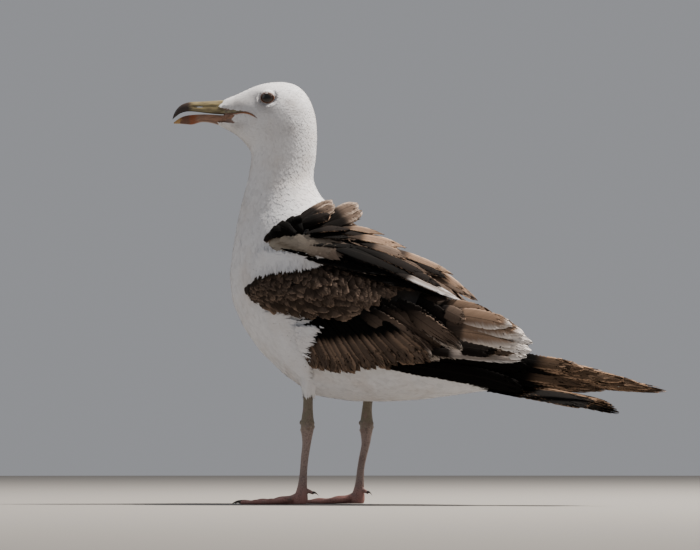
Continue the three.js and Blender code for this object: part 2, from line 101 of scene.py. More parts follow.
# %% Loft and object helpers
def loft(bm, sections):
    """Bridges closed rings of points, each given as a list, and closes both ends."""
    rings = []
    for section in sections:
        made = bmesh.ops.create_circle(bm, segments=len(section), radius=1)["verts"]
        for vertex, place in zip(made, section):
            vertex.co = place
        rings.append(made)
    edges_of = [list({edge for vertex in ring for edge in vertex.link_edges}) for ring in rings]
    for near, far in zip(edges_of, edges_of[1:]):
        bmesh.ops.bridge_loops(bm, edges=near + far)
    for ring in (rings[0], rings[-1]):
        bmesh.ops.contextual_create(bm, geom=ring)
    bmesh.ops.recalc_face_normals(bm, faces=bm.faces)


def ring_around(centre, across, up, half_across, half_up, sides):
    """A ring of places round a centre, as an ellipse in the plane of two directions."""
    turns = [2 * math.pi * i / sides for i in range(sides)]
    return [centre + across * (half_across * math.cos(a)) + up * (half_up * math.sin(a)) for a in turns]


def add_to_scene(name, data):
    made = bpy.data.objects.new(name, data)
    bpy.context.scene.collection.objects.link(made)
    return made


def object_from(bm, name):
    mesh = bpy.data.meshes.new(name)
    bm.to_mesh(mesh)
    bm.free()
    mesh.shade_smooth()
    return add_to_scene(name, mesh)


def add_part(bm, part):
    """Adds one bmesh to another, by way of a mesh that is thrown away."""
    holder = bpy.data.meshes.new("holder")
    part.to_mesh(holder)
    part.free()
    bm.from_mesh(holder)
    bpy.data.meshes.remove(holder)


def apply_modifiers(piece):
    evaluated = piece.evaluated_get(bpy.context.evaluated_depsgraph_get())
    mesh = bpy.data.meshes.new_from_object(evaluated)
    piece.modifiers.clear()
    piece.data = mesh


def rows_from(items, field):
    """A field of three numbers, as a table with a row for each item."""
    values = np.empty(len(items) * 3)
    items.foreach_get(field, values)
    return values.reshape(-1, 3)


def points_of(piece):
    return rows_from(piece.data.vertices, "co")


def normals_of(piece):
    return rows_from(piece.data.vertex_normals, "vector")


def move_points(piece, places):
    piece.data.vertices.foreach_set("co", places.ravel())
    piece.data.update()


def smoothstep(low, high, value):
    """A smooth rise from 0 at the first number to 1 at the second, which may be the smaller of the two."""
    t = np.clip((value - low) / (high - low), 0, 1)
    return t * t * (3 - 2 * t)


def finish(piece, body_nodes, material):
    """What every piece needs: a body to ride on, the nodes it stands for and a material."""
    if body_nodes:
        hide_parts(*body_nodes)
    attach(piece, "root")
    piece.data.materials.clear()
    piece.data.materials.append(material)


# %% [markdown]
# ## The form under the coat
# A bird's outline is its feathers', and the skin lies a few millimetres inside it. The frame's head, neck,
# trunk and rump are that outline, parted by hair-thin cuts. A voxel remesh of all four closes the cuts and
# gives an even mesh, and smoothing takes their facets away. Each is first grown by a little more than half
# a cut, so that the remesh finds no gap.

# %% Fuse the four flesh nodes into one smooth form
FLESH = ("head", "neck", "trunk", "rump")
HALF_A_CUT = 0.0003
SAME_PLACE = 1e-6  # corners nearer than this are one


def even_mesh(piece, voxel, smoothing):
    """Remeshes a piece into small even faces and smooths them."""
    remesh = piece.modifiers.new("fuse", "REMESH")
    remesh.mode = "VOXEL"
    remesh.voxel_size = voxel
    smooth = piece.modifiers.new("smooth", "SMOOTH")
    smooth.factor = 0.5
    smooth.iterations = smoothing
    apply_modifiers(piece)


def grown_copies(name, nodes):
    """Copies of some of the frame's nodes in one object, each a little larger all round."""
    bm = bmesh.new()
    for node in nodes:
        part = bmesh.new()
        part.from_mesh(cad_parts[node].data)
        bmesh.ops.remove_doubles(part, verts=part.verts, dist=SAME_PLACE)
        part.normal_update()
        for vertex in part.verts:
            vertex.co += vertex.normal * HALF_A_CUT
        add_part(bm, part)
    return object_from(bm, name)


form = grown_copies("plumage_form", FLESH)
even_mesh(form, voxel=0.0014, smoothing=30)
print(form.name, "has", len(form.data.polygons), "faces")

# %% [markdown]
# ## Closing the eye sockets
# The frame's head has a round hole for each eyeball, wider than the lids' opening. On the bird, skin runs
# from the face right onto the eyeball. So round each eye the form is set to a new height over the eye's own
# plane: the ball's height inside the opening, and further out a smooth surface fitted to the face around
# the hole, with an even slope between the two. A second remesh evens the faces that this squeezes.

# %% Draw the face's surface in to the eyeballs
EYE_AT = {side: middle("eye_" + side) for side in SIDES}
EYE_RADIUS = (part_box("eye_left")[1].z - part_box("eye_left")[0].z) / 2
LOOK_AHEAD = 0.12  # a gull's eyes look a little forwards
OPENING = np.array((5.7, 4.6)) / 1000  # half the width and height of the ring that feathers keep clear of
FITTED = (0.0105, 0.0145)  # the smooth surface is fitted to the face between these distances from the eye
BEHIND = -0.006  # how far behind the eye's plane the face round it may lie
BALL_SHARE = 0.95  # inside the opening the skin hides in the eyeball, at this share of its radius
DRAWN_IN = (0.0112, 0.0092)  # the form is left alone past the first distance and fully set within the second
FOLD = (0.95, 1.55)  # where the skin leaves the ball and where it meets the face, as shares of the opening


def eye_axis(side):
    return unit(head_left * -SIDES[side] + head_forward * LOOK_AHEAD)


def eye_ways(side):
    """Level, upright and outward directions at an eye."""
    axis = eye_axis(side)
    upright = unit(UP - axis * UP.dot(axis))
    return np.array((upright.cross(axis), upright, axis))


def draw_in(piece):
    places = points_of(piece)
    for side in SIDES:
        ways = eye_ways(side)
        u, v, height = ((places - np.array(EYE_AT[side])) @ ways.T).T
        across = np.hypot(u, v)
        terms = np.stack([u ** i * v ** j for i in range(4) for j in range(4 - i)], axis=1)
        around = (across > FITTED[0]) & (across < FITTED[1]) & (height > BEHIND)
        face = terms @ np.linalg.lstsq(terms[around], height[around], rcond=None)[0]
        ball = np.sqrt(np.maximum((EYE_RADIUS * BALL_SHARE) ** 2 - across ** 2, 0))
        rim = smoothstep(*FOLD, np.hypot(u / OPENING[0], v / OPENING[1]))
        target = ball + (face - ball) * rim
        share = smoothstep(*DRAWN_IN, across) * (height > BEHIND * 1.5)
        places += ways[2] * (share * (target - height))[:, None]
    move_points(piece, places)


draw_in(form)
even_mesh(form, voxel=0.0013, smoothing=3)
draw_in(form)

# %% [markdown]
# ## Modelling the face
# A gull's face is not a plain egg. A low brow stands over the eye and makes it look stern, the lores in
# front of the eye are a little sunken, and the feathers run forward over both sides of the bill in a wedge.
# In the editor these are a few strokes of a sculpting brush. A brush is a soft round push, so a function
# that pushes points by how near they are to a place does the same and can be repeated exactly.

# %% Sculpt the brow, the lores, the cheeks and the wedges
FACE_PUSHES = [  # forward, side, height, reach, push outwards, all in millimetres
    (15, 18, 347, 8, 1.0),  # the brow
    (6, 20, 347.5, 7, 0.7),
    (23, 15, 337, 7, -1.0),  # the lores
    (4, 23, 325, 14, 0.7),  # the cheek
    (30, 10, 343, 8, -0.4),
    (-22, 0, 254, 22, -1.7),  # the back of the neck
]
WEDGE_HEIGHTS = (310, 314, 317, 319, 328.5, 331.6, 335, 339)
WEDGE_REACH = (0, 5, 6, 0, 0, 6.6, 3.6, 2.6)  # how far the face's front edge goes forward at those heights


def in_head(places):
    """Places as millimetres forward, to the left and up on the head."""
    offset = places - np.array(neck_axis)
    ways = np.array((head_forward, head_left, UP))
    return offset @ ways.T * 1000


def from_head(numbers):
    return np.array(neck_axis) + numbers / 1000 @ np.array((head_forward, head_left, UP))


def sculpt_face(piece):
    places = points_of(piece)
    normals = normals_of(piece)
    for forward, side, height, reach, push in FACE_PUSHES:
        for sign in (1, -1):
            centre = np.array(on_head(forward / 1000, sign * side / 1000, height / 1000))
            near = np.linalg.norm(places - centre, axis=1) / (reach / 1000)
            places += normals * (np.exp(-near ** 2) * push / 1000)[:, None]
    head = in_head(places)
    wedge = smoothstep(39, 47, head[:, 0]) * np.interp(head[:, 2], WEDGE_HEIGHTS, WEDGE_REACH)
    head[:, 0] += wedge
    head[:, 1] *= 1 - 0.022 * wedge  # the wedges grow narrower forwards
    head[:, 2] += 0.35 * wedge * (head[:, 2] < 320)  # and the lower one rises with the jaw
    move_points(piece, from_head(head))


sculpt_face(form)
form_points = points_of(form)
form_normals = normals_of(form)

# %% [markdown]
# ## The lie of the coat
# Feathers point away from the bill: back over the crown, down the neck and then along the trunk to the
# tail. A curve through the middle of the bird has just that direction at every place, so the lie of any
# feather is the direction of the nearest stretch of the curve, laid flat on the skin. How far along the
# curve a place is also serves as a map of the bird: it says how long the feathers are there.

# %% Draw the middle line and measure along it
MIDDLE_LINE = [  # millimetres, from the forehead through the neck to the tail
    (-170, -16, 328), (-150, -9, 327), (-134, -3, 321), (-129, 0, 306), (-128, 0, 285),
    (-127, 0, 262), (-120, 0, 235), (-105, 0, 205), (-82, 0, 175), (-50, 0, 152),
    (-12, 0, 137), (30, 0, 124), (70, 0, 111), (105, 0, 99),
]
LINE_STEPS = 240


def smooth_line(corners, steps):
    """A curve through all the corners, at an even number of places."""
    corners = np.array(corners, float)
    padded = np.vstack([2 * corners[0] - corners[1], corners, 2 * corners[-1] - corners[-2]])
    t = np.linspace(0, len(corners) - 1 - 1e-9, steps)
    i = t.astype(int)
    s = (t - i)[:, None]
    a, b, c, d = (padded[i + k] for k in range(4))
    squared = (2 * a - 5 * b + 4 * c - d) * s ** 2
    cubed = (3 * b - a - 3 * c + d) * s ** 3
    return 0.5 * (2 * b + (c - a) * s + squared + cubed)


def unit_rows(vectors):
    return vectors / np.maximum(np.linalg.norm(vectors, axis=-1, keepdims=True), 1e-12)


def tree_of_points(places):
    tree = KDTree(len(places))
    for i, place in enumerate(places):
        tree.insert(place, i)
    tree.balance()
    return tree


line = smooth_line(MIDDLE_LINE, LINE_STEPS) / 1000
line_way = unit_rows(np.gradient(line, axis=0))
line_tree = tree_of_points(line)


def nearest_step(places):
    """Which place of the middle line is the nearest to each place."""
    return np.array([line_tree.find(place)[1] for place in places])


def along(places):
    """How far along the bird each place is, from 0 at the forehead to 1 at the tail."""
    return nearest_step(places) / (LINE_STEPS - 1)


def flat_on(normals, ways):
    """Directions laid flat on the surface that has these normals."""
    return unit_rows(ways - normals * np.sum(normals * ways, axis=1, keepdims=True))


form_along = along(form_points)
print("the neck is at", np.round(along([mm(-128, 0, 270), mm(-105, 0, 205), mm(-12, 0, 137)]), 2))

# %% [markdown]
# ## The skin, its unwrap and its markings
# The skin is the smooth form drawn in by the depth of the coat, which is half a millimetre at the bill and
# nearly three on the belly. A map of it is needed too, so that a picture of its colours can be baked. A tube
# unwraps best along its own length, so one coordinate is how far along the bird a place is, the other is
# the turn around the middle line, and the seam runs along the belly. Feathers later take their place on
# this map from their roots. Skin and feathers ask one function for their colour, so they always agree.

# %% Bare places on the face: the eyes, the bill and the corners of the mouth
BARE = [  # the edge of the bare parts on the side of the head, forward and up in millimetres
    (50.0, 338.5), (51.5, 335), (54.6, 331.6), (48, 330.3), (41, 328.9), (35.7, 327.6), (30.4, 326.3),
    (24.2, 324.1), (20.0, 320.8), (24.2, 323.1), (30.4, 325.2), (36, 325.6), (42, 324), (41, 320.1),
    (38, 317.2), (42, 317.4), (50, 318.2), (56, 318.8), (70, 319), (70, 345), (52, 345),
]


def inside(outline, x, y):
    """Whether places are inside an outline, counting how often a ray to the right crosses it."""
    crossed = np.zeros(len(x), bool)
    for (x0, y0), (x1, y1) in zip(outline, outline[1:] + outline[:1]):
        straddles = (y0 > y) != (y1 > y)
        at = x0 + (y - y0) / (y1 - y0 if y1 != y0 else 1) * (x1 - x0)
        crossed ^= straddles & (x < at)
    return crossed


def on_bare_skin(places):
    forward, left, height = in_head(places).T
    eye_forward, eye_left, eye_height = in_head(np.array([EYE_AT["left"]]))[0]
    clear = OPENING * 1000
    eye = ((forward - eye_forward) / clear[0]) ** 2 + ((height - eye_height) / clear[1]) ** 2 < 1
    return (eye & (np.abs(left) > eye_left - 9)) | inside(BARE, forward, height) & (forward > 19)


# %% Depth, unwrap and colour of any place on the coat
STATION = (0.0, 0.10, 0.22, 0.38, 0.55, 0.8, 1.0)
DEPTH = (0.4, 0.6, 1.0, 1.6, 2.4, 2.6, 1.8)  # millimetres of coat over the skin at those stations
THIN = 0.15  # the coat's depth at the rim of the eye, as a share of its depth on the face


def coat_depth(places, stations):
    """How deep the skin lies under the coat, in metres. It is thin round the eyes."""
    eyes = np.array([EYE_AT[side] for side in SIDES])
    near = np.linalg.norm(places[:, None] - eyes, axis=2).min(axis=1)
    return np.interp(stations, STATION, DEPTH) / 1000 * (THIN + (1 - THIN) * smoothstep(0.0085, 0.014, near))


def srgb(red, green, blue):
    """A display colour, 0 to 255, as the linear light that shaders use."""
    c = np.array((red, green, blue)) / 255
    return np.where(c < 0.04045, c / 12.92, ((c + 0.055) / 1.055) ** 2.4)


WHITE = srgb(224, 224, 227)
BROWN = srgb(84, 71, 62)
BLACK_BROWN = srgb(34, 28, 25)
MOUTH = srgb(104, 78, 66)
DUSKY_AND_SHADE_GREY = srgb(150, 144, 142)
DUSKY_MARKS_AND_PAINTED_SHADE = [  # dusky marks on the head, and painted shade over the lores and the side of the forehead: forward, height, length, depth and strength
    (19, 335, 6, 5, 0.6), (30, 338, 11, 8, 0.4), (14, 329, 8, 3.5, 0.5), (-3, 336, 7, 2.2, 0.5),
    (-12, 330, 9, 4, 0.3), (-8, 316, 6, 5, 0.25), (2, 314, 16, 7, 0.2), (38, 316, 6, 3, 0.45),
]
LINE_STEP = np.linalg.norm(np.diff(line, axis=0), axis=1).mean()
MAP_MARGIN = 0.05


def unwrapped(places):
    """A place's two coordinates on the coat's own map, each 0 to 1."""
    nearest = nearest_step(places)
    offset = places - line[nearest]
    ways = line_way[nearest]
    length = (nearest + np.sum(offset * ways, axis=1) / LINE_STEP) / (LINE_STEPS - 1)
    left = flat_on(ways, np.tile((0.0, -1.0, 0.0), (len(places), 1)))
    back = np.cross(left, ways)
    turn = np.arctan2(np.sum(offset * left, axis=1), np.sum(offset * back, axis=1))
    inner = 1 - 2 * MAP_MARGIN
    length = np.clip(length, -0.03, 1.03) * inner + MAP_MARGIN
    return np.stack([length, turn / (2 * math.pi) * inner + 0.5], axis=1)


def painted(colour, share, tone):
    """Colours mixed with a tone by a share for each place."""
    return colour + share[:, None] * (tone - colour)


def markings(places, normals):
    """White, with a dark brown mantle between the wings, painted shade under them and at the rear, and dark
    bare skin on the face.
    """
    x, y, z = (places * 1000).T
    mantle = smoothstep(-84, -66, x + 0.15 * np.abs(y)) * smoothstep(52, 40, x)
    mantle *= smoothstep(0.05, 0.35, normals[:, 2]) * smoothstep(160, 168, z)
    # painted shade: the body's side under the folded wings is darkened to near black
    painted_shade_under_wing = smoothstep(-78, -66, x) * smoothstep(70, 50, x) * smoothstep(112, 122, z)
    painted_shade_under_wing *= smoothstep(205, 190, z) * smoothstep(20, 28, np.abs(y))
    # painted shade: the rear of the body above the line under the tail is darkened to near black
    below_tail = np.interp(x, (0, 18, 30, 42, 50, 56), (120, 106, 104.5, 100, 94, 70))
    rear = smoothstep(-1.5, 1.5, z - below_tail) * smoothstep(8, 20, x)
    colour = painted(WHITE, mantle, BROWN)
    colour = painted(colour, painted_shade_under_wing, BLACK_BROWN)
    colour = painted(colour, rear, BLACK_BROWN * 0.4)
    forward, left, height = in_head(places).T
    # dusky marks, together with painted shade on the lores and the side of the forehead
    for at, up, long, tall, share in DUSKY_MARKS_AND_PAINTED_SHADE:
        near = np.exp(-((forward - at) / long) ** 2 - ((height - up) / tall) ** 2) * (np.abs(left) > 5)
        colour = painted(colour, share * near, DUSKY_AND_SHADE_GREY)
    return np.where(on_bare_skin(places)[:, None], MOUTH, colour)


# %% Put the map and the markings on the skin
def put_map(mesh, corners):
    layer = mesh.uv_layers.new(name="OFBake")
    layer.uv.foreach_set("vector", corners.astype(np.float32).ravel())


def put_attribute(mesh, name, values):
    """Three numbers on every point. Those of a colour are kept as one, with a fourth that is always 1."""
    kind, field = "FLOAT_VECTOR", "vector"
    if name in ("pigment", "fringe"):
        kind, field = "FLOAT_COLOR", "color"
        values = np.hstack([values, np.ones((len(values), 1))])
    made = mesh.attributes.new(name, kind, "POINT")
    made.data.foreach_set(field, values.astype(np.float32).ravel())


def make_skin(skin):
    """Draws the form in by the coat's depth. A face that crosses the map's seam is moved to its far edge."""
    skin.name = "skin"
    depth = coat_depth(form_points, form_along)
    move_points(skin, form_points - form_normals * depth[:, None])
    flat = unwrapped(form_points)[np.array(form_faces)]
    over_seam = np.ptp(flat[:, :, 1], axis=1) > 0.45
    flat[:, :, 1] += np.where(over_seam[:, None] & (flat[:, :, 1] < 0.5), 1 - 2 * MAP_MARGIN, 0)
    flat[:, :, 1] = np.minimum(flat[:, :, 1], 1)
    put_map(skin.data, flat.reshape(-1, 2))
    put_attribute(skin.data, "pigment", markings(form_points, form_normals))
    skin.data.shade_smooth()


form_faces = [tuple(face.vertices) for face in form.data.polygons]
form_tree = BVHTree.FromPolygons([tuple(p) for p in form_points], form_faces)
print("the skin is", len(form_faces), "quads:", {len(face) for face in form_faces})
make_skin(form)

# %% [markdown]
# ## Materials from nodes
# A feather's vane is made of barbs that leave the shaft at a slant, so its colour and its relief are fine
# slanting stripes. Noise on plain object coordinates would ignore the feather, so each feather carries its
# own map as an attribute: how far across the vane a point is, how far along it, and a number drawn for the
# feather. A second one says how near the edge is. The material draws barbs, the shaft and a worn pale edge
# from them, and the colours come from attributes too, so one material serves every feather of a kind.

# %% A small kit for writing shaders
class Shader:
    """One material, with short ways to add nodes and join them."""

    def __init__(self, name, roughness, specular=0.4, **fixed):
        self.material = bpy.data.materials.new(name)
        self.material.use_nodes = True
        self.nodes = self.material.node_tree.nodes
        self.links = self.material.node_tree.links
        self.surface = self.nodes["Principled BSDF"]
        self.surface.inputs["Roughness"].default_value = roughness
        self.surface.inputs["Specular IOR Level"].default_value = specular
        for socket, value in fixed.items():
            self.surface.inputs[socket.replace("_", " ")].default_value = value

    def add(self, kind, inputs=(), **settings):
        node = self.nodes.new("ShaderNode" + kind)
        for name, value in settings.items():
            setattr(node, name, value)
        for place, value in dict(inputs).items():
            self.feed(node.inputs[place], value)
        return node

    def feed(self, socket, value):
        if isinstance(value, bpy.types.NodeSocket):
            self.links.new(value, socket)
        elif isinstance(value, (tuple, list, np.ndarray)) and len(value) == 3 and socket.type == "RGBA":
            socket.default_value = (*value, 1)
        else:
            socket.default_value = value

    def math(self, operation, a, b=0.0, c=0.0):
        return self.add("Math", {0: a, 1: b, 2: c}, operation=operation).outputs[0]

    def attribute(self, name):
        return self.add("Attribute", attribute_name=name)

    def ramp(self, value, low, high):
        inputs = {"Value": value, "From Min": low, "From Max": high}
        return self.add("MapRange", inputs, interpolation_type="SMOOTHSTEP").outputs[0]

    def mix(self, share, a, b, blend="MIX"):
        node = self.add("Mix", data_type="RGBA", blend_type=blend)
        self.feed(node.inputs[0], share)
        self.feed(node.inputs[6], a)
        self.feed(node.inputs[7], b)
        return node.outputs[2]

    def noise(self, scale, detail, vector=None, roughness=0.5):
        vector = vector or self.add("TexCoord").outputs["Object"]
        inputs = {"Vector": vector, "Scale": scale, "Detail": detail, "Roughness": roughness}
        return self.add("TexNoise", inputs).outputs[0]

    def colour(self, value):
        self.feed(self.surface.inputs["Base Color"], value)

    def grey(self, value):
        return self.add("CombineXYZ", {0: value, 1: value, 2: value}).outputs[0]

    def bump(self, height, strength, distance):
        node = self.add("Bump", {"Height": height, "Strength": strength, "Distance": distance})
        self.links.new(node.outputs[0], self.surface.inputs["Normal"])


# %% Feather materials
def parts_of(shader, name):
    return shader.add("SeparateXYZ", {0: shader.attribute(name).outputs["Vector"]}).outputs


SHAFT = (0.012, 0.009, 0.008)


def feather_material(name, barb_shade, barb_relief):
    """A pigmented vane with barbs, a dark shaft, and an edge that is worn to another colour."""
    shader = Shader(name, 0.85, 0.08)
    vane, rim = parts_of(shader, "vane"), parts_of(shader, "rim")
    pigment = shader.attribute("pigment").outputs["Color"]
    fringe = shader.attribute("fringe").outputs["Color"]
    beside = shader.math("ABSOLUTE", vane[0])
    run = shader.math("MULTIPLY_ADD", beside, -0.12, vane[1])
    barbs_along = shader.math("MULTIPLY", run, rim[2])
    streak_place = shader.add("CombineXYZ", {0: vane[0], 1: barbs_along, 2: vane[2]}).outputs[0]
    streaks = shader.noise(1.1, 4.0, streak_place, 0.65)
    phase = shader.math("MULTIPLY_ADD", streaks, 2.5, shader.math("MULTIPLY", barbs_along, 2 * math.pi))
    barbs = shader.math("MULTIPLY_ADD", shader.math("SINE", phase), 0.5, 0.5)
    frayed = shader.math("MULTIPLY_ADD", shader.math("SUBTRACT", streaks, 0.5), 1.1, rim[0])
    worn = shader.ramp(frayed, rim[1], shader.math("MULTIPLY", rim[1], 0.1))
    colour = shader.mix(worn, pigment, fringe)
    shaft = shader.ramp(beside, 0.07, 0.02)
    colour = shader.mix(shader.math("MULTIPLY", shaft, 0.5), colour, SHAFT)
    shade = shader.math("MULTIPLY_ADD", vane[2], 0.3, 0.85)
    streaky = shader.math("MULTIPLY_ADD", streaks, barb_shade, 1 - barb_shade / 2)
    shade = shader.grey(shader.math("MULTIPLY", shade, streaky))
    shader.colour(shader.mix(1.0, colour, shade, "MULTIPLY"))
    relief = shader.math("MULTIPLY_ADD", streaks, 1.5, barbs)
    shader.bump(shader.math("ADD", relief, shaft), barb_relief, 0.00025)
    return shader.material


def down_material():
    """White down: fine hairs that run along the feather, and hardly any difference between feathers."""
    shader = Shader("white_body_feathers", 0.9, 0.2, Sheen_Weight=0.25, Sheen_Roughness=0.4)
    vane = parts_of(shader, "vane")
    across = shader.math("MULTIPLY_ADD", vane[2], 40.0, shader.math("MULTIPLY", vane[0], 3.0))
    hair_place = shader.add("CombineXYZ", {0: across, 1: vane[1], 2: vane[2]}).outputs[0]
    hairs = shader.noise(1.6, 3.0, hair_place, 0.6)
    pigment = shader.attribute("pigment").outputs["Color"]
    shade = shader.math("MULTIPLY_ADD", hairs, 0.22, 0.86)
    shade = shader.grey(shader.math("MULTIPLY_ADD", vane[2], 0.05, shade))
    soiled = shader.math("MULTIPLY", shader.ramp(shader.noise(38, 4), 0.42, 0.75), 0.5)
    pigment = shader.mix(soiled, pigment, shader.mix(1.0, pigment, srgb(232, 222, 212), "MULTIPLY"))
    shader.colour(shader.mix(1.0, pigment, shade, "MULTIPLY"))
    shader.bump(hairs, 0.35, 0.0003)
    return shader.material


white_down = down_material()
brown_vane = feather_material("brown_covert_feathers", 0.7, 0.5)
dark_vane = feather_material("dark_flight_feathers", 0.9, 0.6)


def skin_material():
    shader = Shader("pale_skin", 0.7)
    mottle = shader.noise(140, 4)
    colour = shader.attribute("pigment").outputs["Color"]
    shader.colour(shader.mix(shader.math("MULTIPLY", mottle, 0.15), colour, (0.6, 0.56, 0.54)))
    shader.bump(shader.noise(900, 2), 0.3, 0.0003)
    return shader.material


finish(form, FLESH, skin_material())
print("feather materials:", white_down.name, brown_vane.name, dark_vane.name)

# %% [markdown]
# ## One feather, many times
# Thousands of feathers can be scattered with Geometry Nodes, or laid by a script as one joined mesh. The
# script is chosen here, because each feather has to bend from its root on the skin to its own tip. The
# pattern is a flat grid from one operator. Its columns become places across the vane and its rows places
# along the shaft. A curve from root to tip carries the rows, a rule for the outline sets their widths, and
# small notches at the rim give the frayed look. NumPy works out all copies together. A coat of white down
# looks silky because light goes through it, so a body feather takes most of its shading normals from the
# form below, as the Data Transfer modifier would give it, and only a little from its own bend.

# %% The vane pattern and its outline
class Vane:
    """A flat grid as a feather pattern: `across` and `along` count its faces."""

    def __init__(self, across, along, base, round_from, point, frayed):
        bm = bmesh.new()
        bmesh.ops.create_grid(bm, x_segments=across, y_segments=along, size=1)
        bm.verts.ensure_lookup_table()
        flat = np.array([vertex.co[:2] for vertex in bm.verts])
        self.faces = np.array([[vertex.index for vertex in face.verts] for face in bm.faces])
        bm.free()
        self.u = flat[:, 0]
        self.v = (flat[:, 1] + 1) / 2
        column = np.rint((self.u + 1) / 2 * across).astype(int)
        row = np.rint(self.v * along).astype(int)
        self.odd = ((column + (column == across) * row + (column == 0) * row) % 2).astype(float)
        self.at_side = np.abs(self.u) > 0.99
        self.base = base
        self.round_from = round_from
        self.point = point
        self.frayed = frayed

    def half_width(self, v):
        """The vane's half width at a share v of its length, as a share of the widest."""
        grown = self.base + (1 - self.base) * smoothstep(0, 0.4, v)
        past = np.clip((v - self.round_from) / (1 - self.round_from), 0, 1)
        return grown * np.sqrt(np.clip(1 - past ** self.point, 0.012, 1))


def joined_mesh(name, places, faces, corner_map, attributes, normals=None):
    mesh = bpy.data.meshes.new(name)
    mesh.vertices.add(len(places))
    mesh.vertices.foreach_set("co", places.astype(np.float32).ravel())
    mesh.loops.add(faces.size)
    mesh.loops.foreach_set("vertex_index", faces.astype(np.int32).ravel())
    mesh.polygons.add(len(faces))
    mesh.polygons.foreach_set("loop_start", np.arange(0, faces.size, faces.shape[1], dtype=np.int32))
    mesh.update(calc_edges=True)
    put_map(mesh, corner_map[faces.ravel()])
    for layer, values in attributes.items():
        put_attribute(mesh, layer, values)
    mesh.shade_smooth()
    if normals is not None:
        mesh.normals_split_custom_set_from_vertices(normals)
    return add_to_scene(name, mesh)


# %% Lay a group of feathers
PATCH = (0.0015, 0.003)  # how large a small feather's patch is on the coat's map
BARB_PITCH = 0.0016
OWN_SHADING = 0.25  # how much of a body feather's shading is its own and not the form's


def as_rows(value, count, width):
    """One value, or one for each feather, as a table with a row for each."""
    return np.broadcast_to(np.asarray(value, float).reshape(-1, width), (count, width))


def along_rows(rows, v):
    """Values given at even steps of every feather, read at shares v of its length."""
    steps = rows.shape[1] - 1
    place = np.clip(v, 0, 1) * steps
    i = np.minimum(place.astype(int), steps - 1)
    t = (place - i)[:, :, None]
    feather = np.arange(len(rows))[:, None]
    return rows[feather, i] * (1 - t) + rows[feather, i + 1] * t


def lay(name, vane, roots, mids, tips, outs, widths, pigment, fringe=None, wear=0.2, base=None,
        base_until=0.4, camber=0.12, tilt=0.0, curl=0.0, one_side=0, tip_only=0.0, base_from=0.7,
        map_places=None, path=None):
    """Lays feathers as one mesh. roots, mids and tips are the curve of each shaft, and outs its outer side.
    A feather of the coat has a path instead: places and normals at even steps along it."""
    count = len(roots)
    size = len(vane.u)
    widths = as_rows(widths, count, 1) / 2
    pigment = as_rows(pigment, count, 3)
    fringe = pigment if fringe is None else as_rows(fringe, count, 3)
    base = pigment if base is None else as_rows(base, count, 3)
    notch = rng.random((count, size)) * vane.odd * vane.frayed
    u = vane.u * (1 - 0.5 * notch * vane.at_side)
    v = vane.v - notch * smoothstep(0.6, 1.0, vane.v) * vane.v * 0.8
    s = v[:, :, None]
    if path is None:
        centre = (1 - s) ** 2 * roots[:, None] + 2 * s * (1 - s) * mids[:, None] + s ** 2 * tips[:, None]
        way = unit_rows((1 - s) * (mids - roots)[:, None] + s * (tips - mids)[:, None])
        up = outs[:, None]
    else:
        centre = along_rows(path[0], v)
        way = unit_rows(along_rows(np.gradient(path[0], axis=1), v))
        up = along_rows(path[1], v)
    side = unit_rows(np.cross(way, up))
    out = np.cross(side, way)
    reach = u * vane.half_width(v) * widths
    rise = widths * (-camber * u ** 2 + as_rows(tilt, count, 1) * u - as_rows(curl, count, 1) * v ** 3)
    places = centre + side * reach[:, :, None] + out * rise[:, :, None]
    lengths = np.linalg.norm(mids - roots, axis=1) + np.linalg.norm(tips - mids, axis=1)
    luck = rng.random(count)
    vanes = np.stack([u, v, np.broadcast_to(luck[:, None], u.shape)], axis=2)
    one_side = as_rows(one_side, count, 1)
    beside = np.where(one_side == 0, 1 - np.abs(u), 1 - u * np.sign(one_side))
    edge = np.minimum(beside + tip_only * (1 - v), (1 - v) * lengths[:, None] / widths)
    barbs = lengths[:, None] / BARB_PITCH
    rims = np.stack(np.broadcast_arrays(edge, as_rows(wear, count, 1), barbs), axis=2)
    share = smoothstep(base_until * base_from, base_until, v)[:, :, None]
    colours = base[:, None] + share * (pigment - base)[:, None]
    fringes = base[:, None] + share * (fringe - base)[:, None]
    if map_places is None:
        columns = math.ceil(math.sqrt(count * 2.5))
        rows = math.ceil(count / columns)
        cell = np.stack([np.arange(count) % columns, np.arange(count) // columns], axis=1)[:, None]
        local = np.stack([vane.u * 0.46 + 0.5, vane.v * 0.92 + 0.04], axis=1)
        uv = (cell + local) / (columns, rows)
    else:
        uv = map_places[:, None] + np.stack([vane.u, vane.v - 0.5], axis=1) * (PATCH[0] / 2, PATCH[1])
    faces = (np.arange(count)[:, None, None] * size + vane.faces).reshape(-1, 4)
    layers = {
        "vane": vanes.reshape(-1, 3),
        "rim": rims.reshape(-1, 3),
        "pigment": colours.reshape(-1, 3),
        "fringe": fringes.reshape(-1, 3),
    }
    normals = None
    if path is not None:
        own = out + side * (2 * camber * u)[:, :, None]
        normals = unit_rows(up + own * OWN_SHADING).reshape(-1, 3)
    piece = joined_mesh(name, places.reshape(-1, 3), faces, np.asarray(uv).reshape(-1, 2), layers, normals)
    print(name, "has", count, "feathers and", 2 * len(faces), "triangles")
    return piece


# %% [markdown]
# ## Where the body feathers grow
# Feathers grow in rows that are never quite regular. Scattering roots at random leaves clumps and holes,
# so a candidate is kept only if no kept one is too near, which is known as Poisson disk sampling. How near
# is too near changes along the bird: the feathers of the face are tiny and those of the belly long.

# %% Scatter the roots
SPACING = (0.75, 0.95, 1.25, 1.6, 2.0, 2.2, 2.1)  # millimetres between roots, at the stations of DEPTH
TRIES = 4


